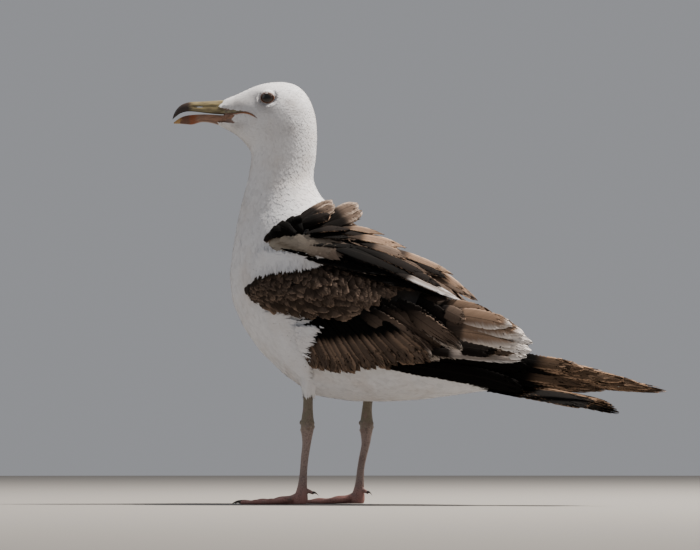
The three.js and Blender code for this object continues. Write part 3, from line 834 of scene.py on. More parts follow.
def scatter():
    quads = form_points[np.array(form_faces)]
    areas = np.linalg.norm(np.cross(quads[:, 1] - quads[:, 0], quads[:, 3] - quads[:, 0]), axis=1)
    centres = quads.mean(axis=1)
    stations = form_along[np.array(form_faces)[:, 0]]
    spacing = np.interp(stations, STATION, SPACING) / 1000
    wanted = areas / spacing ** 2 * ~on_bare_skin(centres)
    count = int(wanted.sum() * TRIES)
    chosen = rng.choice(len(quads), count, p=wanted / wanted.sum())
    a, b = rng.random((2, count, 1))
    q = quads[chosen]
    places = (1 - a) * ((1 - b) * q[:, 0] + b * q[:, 1]) + a * ((1 - b) * q[:, 3] + b * q[:, 2])
    tree = tree_of_points(places)
    near = spacing[chosen]
    kept, gone = [], np.zeros(count, bool)
    for i, place in enumerate(places):
        if not gone[i]:
            kept.append(i)
            for _, j, _ in tree.find_range(place, near[i]):
                gone[j] = True
    kept = np.array(kept)
    vertices = np.array(form_faces)[chosen[kept], 0]
    return places[kept], form_normals[vertices], stations[chosen[kept]], near[kept]


root_at, root_normal, root_station, root_gap = scatter()
print(len(root_at), "roots")

# %% [markdown]
# ## The white coat of the body
# A body feather starts on the skin, rises through the coat and lies down on the outline with its tip. Its
# tip is found by walking from the root along the lie and dropping back onto the form. Feathers whose tips
# would cross the eye are made shorter, as they are on the bird, and those wholly under the wing are left
# out, because nothing of them would show.

# %% Lay the body coat
LENGTH_IN_GAPS = 5.0  # a body feather is this many times as long as the gap between roots
WIDTH_IN_GAPS = 2.4
SHINGLE = 0.0003  # how much higher a tip lies than the feather's own middle, so that it covers the next
WING_PARTS = ("wing_", "greater_coverts_", "scapulars_", "tertials_")
COVER = 0.03  # how far above a feather the wing still covers it
ALONG_FEATHER = (-0.004, 0.005, 0.012)  # a feather is left out if it is covered at all of these


def tree_of(nodes):
    """One search tree over the meshes of several nodes."""
    corners, faces = [], []
    for node in nodes:
        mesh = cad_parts[node].data
        start = len(corners)
        corners += [tuple(vertex.co) for vertex in mesh.vertices]
        faces += [tuple(start + i for i in face.vertices) for face in mesh.polygons]
    return BVHTree.FromPolygons(corners, faces)


wing_tree = tree_of([part + side for side in SIDES for part in WING_PARTS])
lie = flat_on(root_normal, line_way[(root_station * (LINE_STEPS - 1)).astype(int)])


def covered(place, normal):
    return wing_tree.ray_cast(Vector(place), Vector(normal), COVER)[0] is not None


shut = np.array([
    all(covered(place + way * step, normal) for step in ALONG_FEATHER)
    for place, normal, way in zip(root_at, root_normal, lie)
])
shut &= (root_at[:, 0] > -0.072) | (root_at[:, 2] < 0.2)  # the shoulder's front is only loosely covered
bare_root = on_bare_skin(root_at)


def on_form(places, stand):
    """The nearest places on the form, standing off it, with its normals there."""
    found = [form_tree.find_nearest(place)[:2] for place in places]
    normals = np.array([normal for _, normal in found])
    return np.array([place for place, _ in found]) + normals * stand, normals


# %% The coat, in pieces
PATH_STEPS = 6


def body_path(place, way, length, depth, stand):
    """Places and normals along feathers that rise from the skin and then lie flat on the form."""
    v = np.linspace(0, 1, PATH_STEPS + 1)
    flat = place[:, None] + way[:, None] * (length[:, None] * v)[:, :, None]
    found, normals = on_form(flat.reshape(-1, 3), 0)
    shape = flat.shape
    deep = np.maximum(depth - SHINGLE, 0)[:, None]
    rise = -deep * (1 - smoothstep(0, 0.17, v)) - SHINGLE * (1 - v) + stand[:, None] * smoothstep(0.3, 1, v)
    normals = normals.reshape(shape)
    return found.reshape(shape) + normals * rise[:, :, None], normals


def body_coat(name, chosen, vane, loose=0.0002):
    """One piece of the coat. loose is how far the most lifted tips stand off, in metres."""
    chosen = chosen & ~shut & ~bare_root
    place, normal, gap = root_at[chosen], root_normal[chosen], root_gap[chosen]
    count = len(place)
    turn = rng.normal(0, 0.12, (count, 1))
    way = unit_rows(lie[chosen] + np.cross(normal, lie[chosen]) * turn)
    length = gap * LENGTH_IN_GAPS * rng.uniform(0.8, 1.2, count)
    for _ in range(2):
        length = np.where(on_bare_skin(place + way * length[:, None]), length * 0.5, length)
    depth = coat_depth(place, root_station[chosen]) * 0.95
    stand = 0.00004 + rng.uniform(0, 1, count) ** 2 * loose
    path = body_path(place, way, length, depth, stand)
    colours = markings(place, normal) * (1 - 0.12 * rng.random((count, 1)) ** 3)
    roots, middles, tips = (path[0][:, step] for step in (0, PATH_STEPS // 2, PATH_STEPS))
    piece = lay(name, vane, roots, middles, tips, None, gap * WIDTH_IN_GAPS, colours, camber=0.05,
                map_places=unwrapped(place), path=path)
    finish(piece, (), white_down)


def stretch(start, end):
    return (root_station >= start) & (root_station < end)


fine_vane = Vane(4, 5, base=0.5, round_from=0.3, point=1.9, frayed=0.25)
soft_vane = Vane(4, 6, base=0.5, round_from=0.3, point=1.9, frayed=0.25)
under = root_normal[:, 2] < 0.2
body_coat("face_feathers", stretch(0, 0.16), fine_vane, 0.00012)
body_coat("head_feathers", stretch(0.16, 0.27), fine_vane, 0.00015)
body_coat("neck_feathers", stretch(0.27, 0.42), soft_vane)
body_coat("breast_feathers", stretch(0.42, 0.62), soft_vane)
body_coat("belly_feathers", stretch(0.62, 2) & under, soft_vane, 0.0004)
body_coat("back_feathers", stretch(0.62, 2) & ~under, soft_vane)

# %% [markdown]
# ## Places on the wing
# The folded wing is a shell of small coverts over the body's side, with sheets of long feathers below and
# behind it. A place on it is easiest to give by how far back and how high it is. A ray from the side then
# finds the outermost solid there, which says how far out the feather lies. The right wing is a mirror
# image, folded a little further forward.

# %% Find places on the sides
WING_SHIFT = {"left": 0, "right": -20}  # millimetres
LAYERS = {"wing": WING_PARTS, "coverts": ("wing_", "greater_coverts_"), "body": ("greater_coverts_",)}
SIDE_TREES = {
    (side, layer): tree_of([*FLESH, *(part + side for part in parts)])
    for side in SIDES
    for layer, parts in LAYERS.items()
}
WING_MIDDLE = (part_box("wing_left")[0].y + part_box("wing_right")[1].y) / 2
FAR_OUT = 0.2
TAPER_AT = (20, 60, 110, 200)  # where no solid is hit, the folded wing tapers back along these millimetres
TAPER = (0.036, 0.03, 0.021, 0.008)
THIN_ABOVE = 135  # and above this height it is narrow all along
NARROW = 0.012


def on_side(side, x, z, stand, layer="wing"):
    """The outermost place on a side at x and z, in millimetres, standing off the solids."""
    sign = SIDES[side]
    start = Vector(((x + WING_SHIFT[side]) / 1000, sign * FAR_OUT, z / 1000))
    hit = SIDE_TREES[side, layer].ray_cast(start, Vector((0, -sign, 0)))[0]
    out = NARROW if z > THIN_ABOVE else np.interp(x, TAPER_AT, TAPER)
    y = hit.y if hit is not None else WING_MIDDLE + sign * out
    return np.array((start.x, y + sign * stand / 1000, start.z))


def fixed(side, x, y, z):
    """A place given as for the left side, at a distance y from the middle plane."""
    return np.array(((x + WING_SHIFT[side]) / 1000, WING_MIDDLE + SIDES[side] * y / 1000, z / 1000))


def facing(side, x, y, z):
    """A direction given with y as outwards, as a row."""
    return unit_rows(np.array((x, SIDES[side] * y, z)))


def leaning(downwards, length):
    """The run back and down of a feather that points so many degrees below the level."""
    angle = math.radians(downwards)
    return math.cos(angle) * length, -math.sin(angle) * length


def between(points, t):
    """A place along a line of corners, with t from 0 to 1."""
    points = np.asarray(points, float)
    place = min(max(t, 0), 1) * (len(points) - 1)
    i = min(int(place), len(points) - 2)
    return points[i] + (points[i + 1] - points[i]) * (place - i)


print("the wings' middle plane is at", round(WING_MIDDLE * 1000, 2), "mm")

# %% [markdown]
# ## The small coverts
# The front of the wing is tiled with lesser and median coverts: small round feathers in rows, brown with
# worn paler edges that make a soft scaly pattern. Each row starts a little behind the one before and
# covers its roots. The feathers of the last rows are larger and the most worn.

# %% Lay rows of coverts on the wing's shell
TOP_EDGE = [(-131.5, 188), (-120, 198), (-98, 202), (-68, 205), (-38, 200), (-18, 192), (3, 183)]
LOW_EDGE = [(-131.5, 173), (-119, 159), (-91, 153), (-68, 151), (-45, 150), (-28, 156), (-2, 172)]
COVERT_ROWS = 11
LARGE_ROWS = 2  # the last rows, of median coverts
FRINGE_BROWN = srgb(126, 107, 93)


def small_coverts(side):
    """Roots, middles, tips, widths, colours, wear and tilts of all the small coverts of a side."""
    feathers = []
    for row in range(COVERT_ROWS):
        down = (row + 0.2) / COVERT_ROWS
        large = row >= COVERT_ROWS - LARGE_ROWS
        size = 1.5 if large else 1.0
        count = 17 if large else 27
        for column in range(count):
            t = (column + 0.5 * (row % 2) + rng.uniform(-0.3, 0.3)) / count
            top, low = between(TOP_EDGE, t), between(LOW_EDGE, t)
            x, z = top + (low - top) * (down + rng.uniform(-0.04, 0.04))
            downwards = np.interp(t, (0, 0.5, 1), (52, 44, 30)) + rng.normal(0, 16) + 14 * (down - 0.5)
            length = (11 + 3.5 * t) * size * rng.uniform(0.8, 1.2)
            dx, dz = leaning(downwards, length)
            back = max(down, abs(t) ** 1.5) * 0.9  # the first rows start at the edge, the last ones end there
            x, z = x - dx * back, z - dz * back
            feathers.append((
                on_side(side, x, z, -0.9, "coverts"),
                on_side(side, x + dx * 0.5, z + dz * 0.5, 1.0 + 0.9 * rng.random(), "coverts"),
                on_side(side, x + dx, z + dz, 0.2 + 1.5 * rng.random(), "coverts"),
                (6.6 + 2.2 * t) * size / 1000 * rng.uniform(0.9, 1.15),
                BROWN * rng.uniform(0.7, 1.2) * np.interp(down, (0, 0.4), (0.45, 1)),
                rng.uniform(0.2, 0.75) * (1.3 if large else 1) * np.interp(down, (0, 0.35), (0.4, 1)),
                rng.normal(0.05, 0.2),
            ))
    return [np.array(values) for values in zip(*feathers)]


covert_vane = Vane(8, 9, base=0.5, round_from=0.45, point=1.9, frayed=0.5)
for side in SIDES:
    roots, mids, tips, widths, colours, wears, tilts = small_coverts(side)
    outs = np.tile(facing(side, 0.1, 1, 0.1), (len(roots), 1))
    piece = lay("small_coverts_" + side, covert_vane, roots, mids, tips, outs, widths, colours, FRINGE_BROWN,
                wears, base=BROWN * 0.35, base_until=0.7, camber=0.2, tilt=tilts, curl=-0.1, tip_only=0.5)
    finish(piece, ("wing_" + side,), brown_vane)

# %% [markdown]
# ## Long feathers, laid like tiles
# The greater coverts, tertials, primaries and tail feathers are the same thing at different lengths: a row
# spread between a first and a last feather, each partly over the next. So one function takes the two end
# feathers and how many there are, and every group below is a call of it. Where the wind has put each
# feather somewhere else, a table gives them one by one instead.

# %% Spread a row of long feathers between two
def row_of(first, last, count, jitter=0.0):
    """Root, tip and bow for each of a row, between two ends given as (root, tip, bow in millimetres)."""
    t = np.arange(count) / (count - 1)
    roots, tips = (first[k] + (last[k] - first[k]) * t[:, None] for k in (0, 1))
    tips = tips + rng.normal(0, jitter / 1000, tips.shape)
    return roots, tips, (first[2] + (last[2] - first[2]) * t) / 1000


VANE_THICKNESS = 0.00025


def thicken(piece, thickness):
    """Gives vanes a thickness inwards, so that their edges are solid."""
    solid = piece.modifiers.new("thickness", "SOLIDIFY")
    solid.thickness = thickness
    solid.offset = -1
    solid.use_even_offset = False


def long_feathers(name, side, rows, out, widths, pigment, slot, material, nodes, vane, tilt=0.0, one_side=0,
                  **looks):
    """Rows of long feathers on a side. tilt lifts the lower edge, and one_side=1 wears only that edge."""
    roots, tips, bows = (np.concatenate(part) for part in zip(*rows))
    out = facing(side, *out)
    mids = (roots + tips) / 2 + out * (2 * bows)[:, None]
    outs = np.tile(out, (len(roots), 1))
    piece = lay(name, vane, roots, mids, tips, outs, widths, pigment, tilt=-SIDES[side] * tilt,
                one_side=-SIDES[side] * one_side, **looks)
    thicken(piece, VANE_THICKNESS)
    finish(piece, nodes, material)


# %% Greater coverts, with dark bases painted black as the shade where they are covered
covert_long = Vane(8, 34, base=0.6, round_from=0.78, point=2.2, frayed=0.3)
for side in SIDES:
    front = row_of((fixed(side, -93, 50, 150), fixed(side, -69, 57, 111), 1.5),
                   (fixed(side, -74, 52, 153), fixed(side, -42, 57.5, 106.5), 1.5), 6, jitter=0.8)
    rear = row_of((fixed(side, -71, 52, 154), fixed(side, -36, 57.5, 107), 1.5),
                  (fixed(side, -20, 54, 154), fixed(side, 28, 49.5, 116), 2), 11, jitter=1.0)
    count = len(front[0]) + len(rear[0])
    # the bases, up to base_until, are painted near black as the deep shade under the small coverts
    long_feathers("greater_covert_feathers_" + side, side, [front, rear], (0.05, 1, -0.1),
                  rng.uniform(10.5, 13, count) / 1000, BROWN * rng.uniform(0.7, 1.1, (count, 1)),
                  "covert_plumage", brown_vane, ("greater_coverts_" + side,), covert_long,
                  fringe=srgb(124, 103, 87), wear=rng.uniform(0.3, 0.8, count), base=BLACK_BROWN * 0.04,
                  base_until=0.56, camber=0.22, tilt=-0.22)

# %% [markdown]
# ## Tertials, secondaries and primaries
# The tertials are the broad innermost flight feathers. They lie on top of the folded wing over the rump,
# brown with worn white edges. Under them the secondaries show as a black wedge, dark feathers painted near
# black as shade, and the primaries reach back past the tail in a narrow stack, black where they are covered,
# partly unbleached and partly painted shade, and bleached brown where they are not.

# %% Looks of single feathers, and a table of feathers
TAN = srgb(142, 117, 98)
PALE = srgb(214, 206, 200)
LOOKS = {  # colour of the vane, of its worn edge, how wide that edge is, colour of the base
    # black is a dark brown underside painted near black as shade, and dark is blackish brown, partly painted
    # shade
    "black": (BLACK_BROWN * 0.14, BROWN * 0.45, 0.07, BLACK_BROWN * 0.06),
    "dark": (BLACK_BROWN * 0.6, TAN * 0.8, 0.12, BLACK_BROWN * 0.15),
    "brown": (BROWN * 1.1, TAN, 0.3, BLACK_BROWN * 0.5),
    "tan": (TAN * 0.7, srgb(176, 150, 128), 0.4, BROWN * 0.4),
    "pale": (srgb(158, 146, 138), PALE, 0.5, BROWN * 0.4),
    "white": (srgb(150, 140, 134), srgb(208, 204, 204), 0.8, BLACK_BROWN * 0.6),
    "snow": (srgb(190, 184, 180), srgb(224, 220, 218), 0.8, srgb(176, 170, 166)),
    "tipped": (TAN * 0.62, PALE, 1.1, BROWN * 0.5),
    "tuft": (BROWN * 1.25, srgb(156, 138, 124), 0.5, BLACK_BROWN * 0.3),
    "hairy": (BROWN * 1.1, srgb(190, 178, 168), 0.9, BLACK_BROWN * 0.25),
}


def feather_table(name, side, table, out, slot, nodes, vane, **looks):
    """Feathers one by one: a look, then root x, z and stand, tip x, z and stand, bow and width."""
    look, *numbers = zip(*table)
    numbers = np.array(numbers)
    roots, tips = (np.array([on_side(side, *place) for place in numbers[k:k + 3].T]) for k in (0, 3))
    pigment, fringe, wear, base = (np.array(part) for part in zip(*(LOOKS[kind] for kind in look)))
    pigment = pigment * rng.uniform(0.85, 1.15, (len(table), 1))
    row = (roots, tips, numbers[6] / 1000)
    long_feathers(name, side, [row], out, numbers[7] / 1000, pigment, slot, brown_vane, nodes, vane,
                  fringe=fringe, wear=wear, base=base, **looks)


# %% Inner greater coverts, longer and darker, with bases painted near black as shade and hair-like white tips
INNER_COVERTS = [
    ("hairy", -22, 157, 0, 34, 117, 2.5, 2, 14),
    ("hairy", -14, 157, 0, 43, 117.5, 3, 2, 14),
    ("hairy", -8, 158, 0, 53, 119, 3.5, 2, 14),
    ("hairy", -32, 158, 1, 17, 122.5, 1.5, 2, 13),
    ("hairy", -24, 159, 1, 29, 121, 3, 2, 14),
    ("hairy", -14, 160, 1.5, 29, 131, 3, 2, 14),
    ("hairy", -8, 160, 1.5, 43, 124, 4, 2, 15),
    ("hairy", 2, 161, 2, 56, 126, 4.5, 2, 15),
    ("dark", -16, 166, 1, 31, 141, 1.5, 2, 14),
    ("dark", -2, 166, 2, 43, 136, 2, 2, 15),
    ("dark", 12, 167, 2, 55, 136, 2, 2, 15),
]
hairy_vane = Vane(16, 30, base=0.6, round_from=0.7, point=1.7, frayed=0.9)
# their bases are painted near black, as the shade in the gap under the small coverts
for side in SIDES:
    feather_table("inner_covert_feathers_" + side, side, INNER_COVERTS, (0.1, 1, 0.1), "covert_plumage", (),
                  hairy_vane, base_until=0.5, base_from=0.1, camber=0.2, tilt=-0.2, one_side=1, tip_only=1.2)

# %% Tertials
TERTIALS = [
    ("white", 26, 125, 0.5, 98, 117.5, 3, 2, 10),
    ("dark", 30, 130, 3, 82, 123.5, 4, 2, 13),
    ("snow", 46, 128, 3, 103, 120.5, 4, 2, 11),
    ("brown", 36, 135, 4.5, 96, 124.5, 5.5, 3, 15),
    ("snow", 60, 136, 4, 108, 124.5, 5.5, 3, 11),
    ("tipped", 40, 142, 5, 100, 131, 6, 4, 17),
    ("snow", 66, 143, 5, 109, 131, 6, 4, 10),
    ("tipped", 40, 149, 6, 103, 138, 6.5, 4, 18),
    ("tipped", 38, 155, 6.5, 94, 144.5, 7, 4, 16),
    ("tan", 24, 162.5, 6, 74, 154.5, 7, 4, 14),
    ("brown", 32, 160, 7, 57, 149, 8, 2, 13),
]
tertial_vane = Vane(10, 28, base=0.6, round_from=0.62, point=2.2, frayed=0.3)
for side, ahead in (("left", 0), ("right", 6)):
    table = [
        (look, x - ahead, z, stand, tip_x - ahead, *rest)
        for look, x, z, stand, tip_x, *rest in TERTIALS
    ]
    feather_table("tertial_feathers_" + side, side, table, (0.1, 1, 0.5), "tertial_plumage",
                  ("tertials_" + side,), tertial_vane, base_until=0.3, camber=0.16, tilt=-0.12, tip_only=0.9,
                  one_side=1)

# %% Secondaries, dark feathers painted near black as the shade under the coverts
for side in SIDES:
    hidden = row_of((fixed(side, -30, 44, 122), fixed(side, 30, 31, 107), 2),
                    (fixed(side, 26, 32, 132), fixed(side, 104, 20, 110), 2), 9)
    lower = row_of((fixed(side, 6, 39, 114), fixed(side, 56, 28, 104), 2),
                   (fixed(side, 36, 32, 112), fixed(side, 100, 25, 94), 2), 6)
    # near black: the secondaries' own dark brown, deepened as painted shade
    long_feathers("secondary_feathers_" + side, side, [lower, hidden], (0.05, 1, 0.2), 14 / 1000,
                  BLACK_BROWN * 0.12, "flight_plumage", dark_vane, (), tertial_vane,
                  fringe=BLACK_BROWN * 0.3, wear=0.1, camber=0.08, tilt=-0.1)

# %% Primaries
WORN = srgb(168, 137, 112)
primary_vane = Vane(8, 48, base=0.75, round_from=0.72, point=1.5, frayed=0.4)
for side in SIDES:
    upper = row_of((fixed(side, 72, 20, 122), fixed(side, 148, 15, 109), 1),
                   (fixed(side, 80, 19, 109), fixed(side, 215, 6, 92.5), 1), 7, jitter=0.7)
    lower = row_of((fixed(side, 60, 22, 112), fixed(side, 150, 16, 97), 0.5),
                   (fixed(side, 70, 22, 103), fixed(side, 166, 13, 93.5), 0.5), 3)
    count = len(upper[0]) + len(lower[0])
    # the bases are painted black: partly the feathers' own unbleached dark, partly painted shade under the
    # tertials
    long_feathers("primary_feathers_" + side, side, [upper, lower], (0.12, 1, 0.45),
                  np.linspace(11.5, 8.5, count) / 1000, WORN * 0.28 * rng.uniform(0.7, 1.1, (count, 1)),
                  "flight_plumage", dark_vane, ("primaries_" + side,), primary_vane, fringe=WORN,
                  wear=0.3, base=BLACK_BROWN * 0.12, base_until=0.62, camber=0.1, tilt=-0.12)

# %% [markdown]
# ## The shoulder in the wind
# The scapulars cover the gap between wing and back. On the near side the wind has blown them up and over,
# so their dark undersides show, painted near black as the shade under them, with grey down at their roots,
# darkened as painted shade, and their lit brown edges make the bird's upper outline. Each has its own place,
# so they come from a table, lowest layer first. Some stand up as tufts, on the near side only. A skirt of
# loose white down from the side of the neck hangs below them.

# %% Scapulars
SCAPULARS = [  # look, root x, z, stand, tip x, z, stand, bow, width
    ("black", -64, 206, 0, 36, 168, 0, 3, 18),
    ("black", -86, 207, 0, 14, 176, 0, 3, 18),
    ("black", -104, 210, 0.5, -12, 187.5, 0.5, 3, 16),
    ("black", -112, 214, 1, -44, 199, 1, 2, 14),
    ("dark", -30, 201, 0.5, 40, 169.5, 0.5, 3, 12),
    ("black", -66, 214, 1, 20, 183, 1, 4, 17),
    ("dark", -46, 213, 1.5, 25, 182.5, 1.5, 4, 10),
    ("brown", 2, 199, 0, 54, 167, 0, 2, 11),
    ("tan", 6, 201, 1.5, 48, 171.5, 1.5, 2, 8),
    ("dark", -14, 199, 2, 32, 177, 2, 3, 8),
    ("white", -16, 194, 3.5, 47, 166.5, 19, 3, 9),
    ("brown", -26, 207, 1, 23, 187, 1, 3, 11),
    ("dark", -12, 206, 1.5, 32, 184.5, 1.5, 3, 9),
    ("tan", -26, 212, 1, 35, 188, 1, 3, 8),
    ("brown", -46, 217, 2, 2, 200.5, 2, 3, 11),
    ("tan", -58, 222, 2, -8, 211, 2, 4, 12),
    ("black", -88, 216, 2, -38, 211, 2, 3, 13),
    ("dark", -72, 226, 2, -26, 217, 2, 4, 10),
    ("tan", -66, 230, 1, -26, 222, 1, 2, 8),
    ("black", -84, 221, 3, -48, 219.5, 3, 3, 12),
    ("dark", -85, 223, 4, -50, 226, 3, 4, 10),
]
scapular_vane = Vane(8, 28, base=0.55, round_from=0.55, point=2.0, frayed=0.3)
for side in SIDES:
    table = [row for row in SCAPULARS if side == "left" or (row[1] > -70 and row[0] != "white")]
    feather_table("scapular_feathers_" + side, side, table, (0.1, 0.85, 0.75), "covert_plumage",
                  ("scapulars_" + side,), scapular_vane, base_until=0.45, camber=0.22, tilt=0.25)

# %% Tufts and rolled feathers at the near shoulder
SHOULDER_TUFTS = [
    ("tuft", -88, 229, 2, -67, 248, 6, 2, 14),
    ("tuft", -97, 231, 2, -74.5, 252.5, 6, 2, 14),
    ("tuft", -74, 227, 3, -46, 243, 8, 2, 16),
    ("tuft", -80, 229, 2, -50, 249, 8, 2, 16),
    ("dark", -84, 228, 4, -54, 237.5, 6, 2, 13),
    ("dark", -93, 229, 4, -66, 238.5, 6, 2, 11),
    ("black", -86, 224, 4, -106, 234.5, 3, 4, 14),
    ("black", -92, 222, 5, -113, 231, 3, 4, 12),
    ("black", -90, 227, 4, -98, 237, 4, 3, 14),
    ("black", -98, 224, 5, -118, 224.5, 3, 3, 12),
    ("dark", -108, 227, 3, -125, 218, 2.5, 1, 8),
]
tuft_vane = Vane(12, 18, base=0.5, round_from=0.72, point=3.0, frayed=0.3)
feather_table("shoulder_tufts", "left", SHOULDER_TUFTS, (-0.2, 0.9, 0.3), "covert_plumage", (), tuft_vane,
              base_until=0.75, camber=0.3, curl=0.1)

# %% A brown mantle between the wings, down to the tail
MANTLE_FEATHERS = 340


def mantle():
    x, y, _ = root_at.T
    between_wings = (root_normal[:, 2] > 0.2) & (x > -0.088) & (x < 0.08) & (np.abs(y) < 0.03)
    chosen = rng.choice(np.flatnonzero(between_wings), MANTLE_FEATHERS, replace=False)
    place, normal, way = root_at[chosen], root_normal[chosen], lie[chosen]
    length = 0.019 * rng.uniform(0.9, 1.1, (MANTLE_FEATHERS, 1))
    tips, tip_normals = on_form(place + way * length, 0.0022)
    middles, _ = on_form(place + way * length * 0.5, 0.0016)
    piece = lay("mantle_feathers", covert_vane, place - normal * 0.001, middles, tips,
                unit_rows(normal + tip_normals), 0.0125, BROWN * rng.uniform(0.6, 1.1, (MANTLE_FEATHERS, 1)),
                FRINGE_BROWN, 0.3, base=BLACK_BROWN, camber=0.2, map_places=unwrapped(place))
    finish(piece, (), brown_vane)


mantle()

# %% Loose down below the shoulder and over the front of the wing
wisp_vane = Vane(4, 6, base=0.5, round_from=0.3, point=1.6, frayed=0.5)
BESIDE = (-9, -6, -3, 3, 6, 9)  # millimetres


def draped(side, x, z, stand, layer):
    """A place on a side, where a step in the solids counts as a slope."""
    sign = SIDES[side]
    here = on_side(side, x, z, stand, layer)
    spread = [on_side(side, x + step, z, stand, layer)[1] for step in BESIDE]
    mean = (here[1] + sum(spread)) / (len(spread) + 1)
    here[1] = max(here[1] * sign, mean * sign) * sign
    return here


def skirt(name, side, top, low, count, angles, length, width, colours, stand, layer="wing"):
    """Soft feathers rooted at random between two lines on a side, over whatever lies there."""
    feathers = []
    for _ in range(count):
        t, down = rng.random(2)
        x, z = between(top, t) + (between(low, t) - between(top, t)) * down
        downwards = np.interp(t, (0, 1), angles) + rng.normal(0, 8)
        dx, dz = leaning(downwards, length * rng.uniform(0.75, 1.2))
        feathers.append((
            draped(side, x, z, -0.3, layer),
            draped(side, x + dx * 0.5, z + dz * 0.5, stand + rng.uniform(0, 0.8), layer),
            draped(side, x + dx, z + dz, stand + rng.uniform(-0.6, 0.6), layer),
            colours[0] + (colours[1] - colours[0]) * t,
        ))
    outs = np.tile(facing(side, 0.0, 1, 0.1), (count, 1))
    roots, mids, tips, shades = (np.array(values) for values in zip(*feathers))
    bend = [roots, (roots + 2 * mids) / 3, mids, (mids * 2 + tips) / 3, tips]
    calm = unit_rows(on_form(mids, 0)[1] + outs * 0.5)
    path = (np.stack(bend, axis=1), np.repeat(calm[:, None], len(bend), axis=1))
    piece = lay(name, wisp_vane, roots, mids, tips, outs, width / 1000, shades, camber=0.1,
                map_places=unwrapped(roots), path=path)
    finish(piece, (), white_down)


for side in SIDES:
    skirt("shoulder_down_" + side, side, [(-126, 214), (-104, 211.5), (-88, 209), (-76, 205)],
          [(-135, 197), (-114, 200.5), (-94, 202), (-82, 203)], count=1400, angles=(75, 28),
          length=13, width=4, colours=(WHITE, WHITE), stand=4.6)
    skirt("breast_side_down_" + side, side, [(-128, 158), (-108, 152.5), (-80, 148)],
          [(-113, 118), (-106, 112), (-98, 108)], count=1800, angles=(8, 16),
          length=15, width=3, colours=(WHITE, WHITE), stand=2.4, layer="body")
# grey down, darkened as painted shade under the black scapulars, and darkest to the right
skirt("grey_down_painted_shade_left", "left", [(-121, 219), (-98, 221), (-78, 220), (-60, 216)],
      [(-121, 214), (-100, 213.5), (-84, 210.5), (-66, 208)], count=260, angles=(12, 24),
      length=17, width=6, colours=(srgb(150, 142, 130), BROWN * 0.9), stand=3.0)

# %% White trousers where the legs leave the belly
TROUSER_FEATHERS = 560
TROUSER_STEPS = 5
TROUSERS_AT = np.array([(-62.0, 30.0), (-90.0, -30.0)])  # x and y in millimetres, right leg and left leg
TROUSER_HEIGHTS = (84, 90, 98, 112)
TROUSER_RADII = (4.9, 5.6, 6.1, 5.6)


def trousers():
    count = TROUSER_FEATHERS
    middle_x, middle_y = TROUSERS_AT[np.arange(count) % 2].T[:, :, None]
    around = rng.uniform(0, 2 * math.pi, count)
    start = rng.uniform(97, 112, count)
    length = rng.uniform(8, 12, count)
    height = start[:, None] - length[:, None] * np.linspace(0, 1, TROUSER_STEPS)
    wide = np.interp(height, TROUSER_HEIGHTS, TROUSER_RADII)
    ways = np.stack([np.cos(around), np.sin(around) * 0.85, np.zeros(count)], axis=1)
    forward = -0.02 * np.maximum(height - TROUSER_HEIGHTS[0], 0)
    centre = np.stack(np.broadcast_arrays(middle_x + forward, middle_y, height), axis=2)
    places = (centre + ways[:, None] * wide[:, :, None]) / 1000
    normals = unit_rows(ways + np.array((0, 0, -0.35)))
    path = (places, np.repeat(normals[:, None], TROUSER_STEPS, axis=1))
    piece = lay("trouser_feathers", wisp_vane, places[:, 0], places[:, 2], places[:, -1], None, 0.003, WHITE,
                camber=0.2, map_places=unwrapped(places[:, 0]), path=path)
    finish(piece, (), white_down)


trousers()

# %% [markdown]
# ## The tail
# The tail is closed. Its feathers lie like a hand of cards, the middle pair on top and the outer ones lower
# on each side, so the row runs from one side to the other with its drop growing with the square of the
# distance from the middle. The feathers are blackish with painted shade, and worn brown along their outer
# edges.

# %% Tail feathers
TAIL_FEATHERS = 14


def columns(*values):
    """Numbers, or rows of them, side by side as a table of places."""
    return np.stack(np.broadcast_arrays(*values), axis=1)


def tail():
    from_middle = np.linspace(-1, 1, TAIL_FEATHERS)
    across = from_middle[np.argsort(-np.abs(from_middle))]  # the outer feathers are laid first
    toward = 1 + across  # the fan is turned a little, so its far side reaches further back
    stack = np.abs(across) * -0.0006
    roots = columns(0.064, across * 0.011, 0.1005 - 0.0095 * across ** 2 * 0.5)
    tips = columns(0.156 + 0.0035 * toward, across * 0.0245, 0.087 - 0.0065 * across ** 2 - 0.0022 * toward)
    outs = unit_rows(columns(0.2, across * 0.35, 1))
    mids = (roots + tips) / 2 + outs * 0.003
    for places in (roots, mids, tips):
        places[:, 2] += stack
    central = np.abs(across)[:, None] < 0.45
    # the outer feathers are near black, their own blackish brown darkened as painted shade
    pigment = np.where(central, WORN * 0.36, BLACK_BROWN * 0.18) * rng.uniform(0.8, 1.2, (TAIL_FEATHERS, 1))
    piece = lay("tail_feathers", tertial_vane, roots, mids, tips, outs, 0.0155, pigment, WORN * 0.5, 0.1,
                base=BLACK_BROWN * 0.1, base_until=0.4, camber=0.1, tilt=0.12 * np.sign(across))
    thicken(piece, 0.0003)
    finish(piece, ("tail",), dark_vane)


tail()


# %% Brown coverts over the tail's root, in two rows
def tail_coverts():
    across = np.concatenate([np.linspace(-0.75, 0.75, 8), np.linspace(-0.65, 0.65, 7)])
    back = np.repeat((0.009, 0.0), (8, 7))
    roots, _ = on_form(columns(0.062 + back, across * 0.015, 0.13), 0.0012)
    drop = 0.006 * across ** 2 + back * 0.15
    tips = columns(0.103 + back - 0.004 * across ** 2, across * 0.018, 0.1 - drop)
    outs = unit_rows(columns(0.15, across * 0.35, 1))
    mids = (roots + tips) / 2 + outs * 0.0025
    piece = lay("tail_coverts", covert_vane, roots, mids, tips, outs, 0.012,
                BROWN * rng.uniform(0.6, 1.0, (len(across), 1)), FRINGE_BROWN, 0.3, base=BLACK_BROWN * 0.3,
                camber=0.2)
    finish(piece, (), brown_vane)


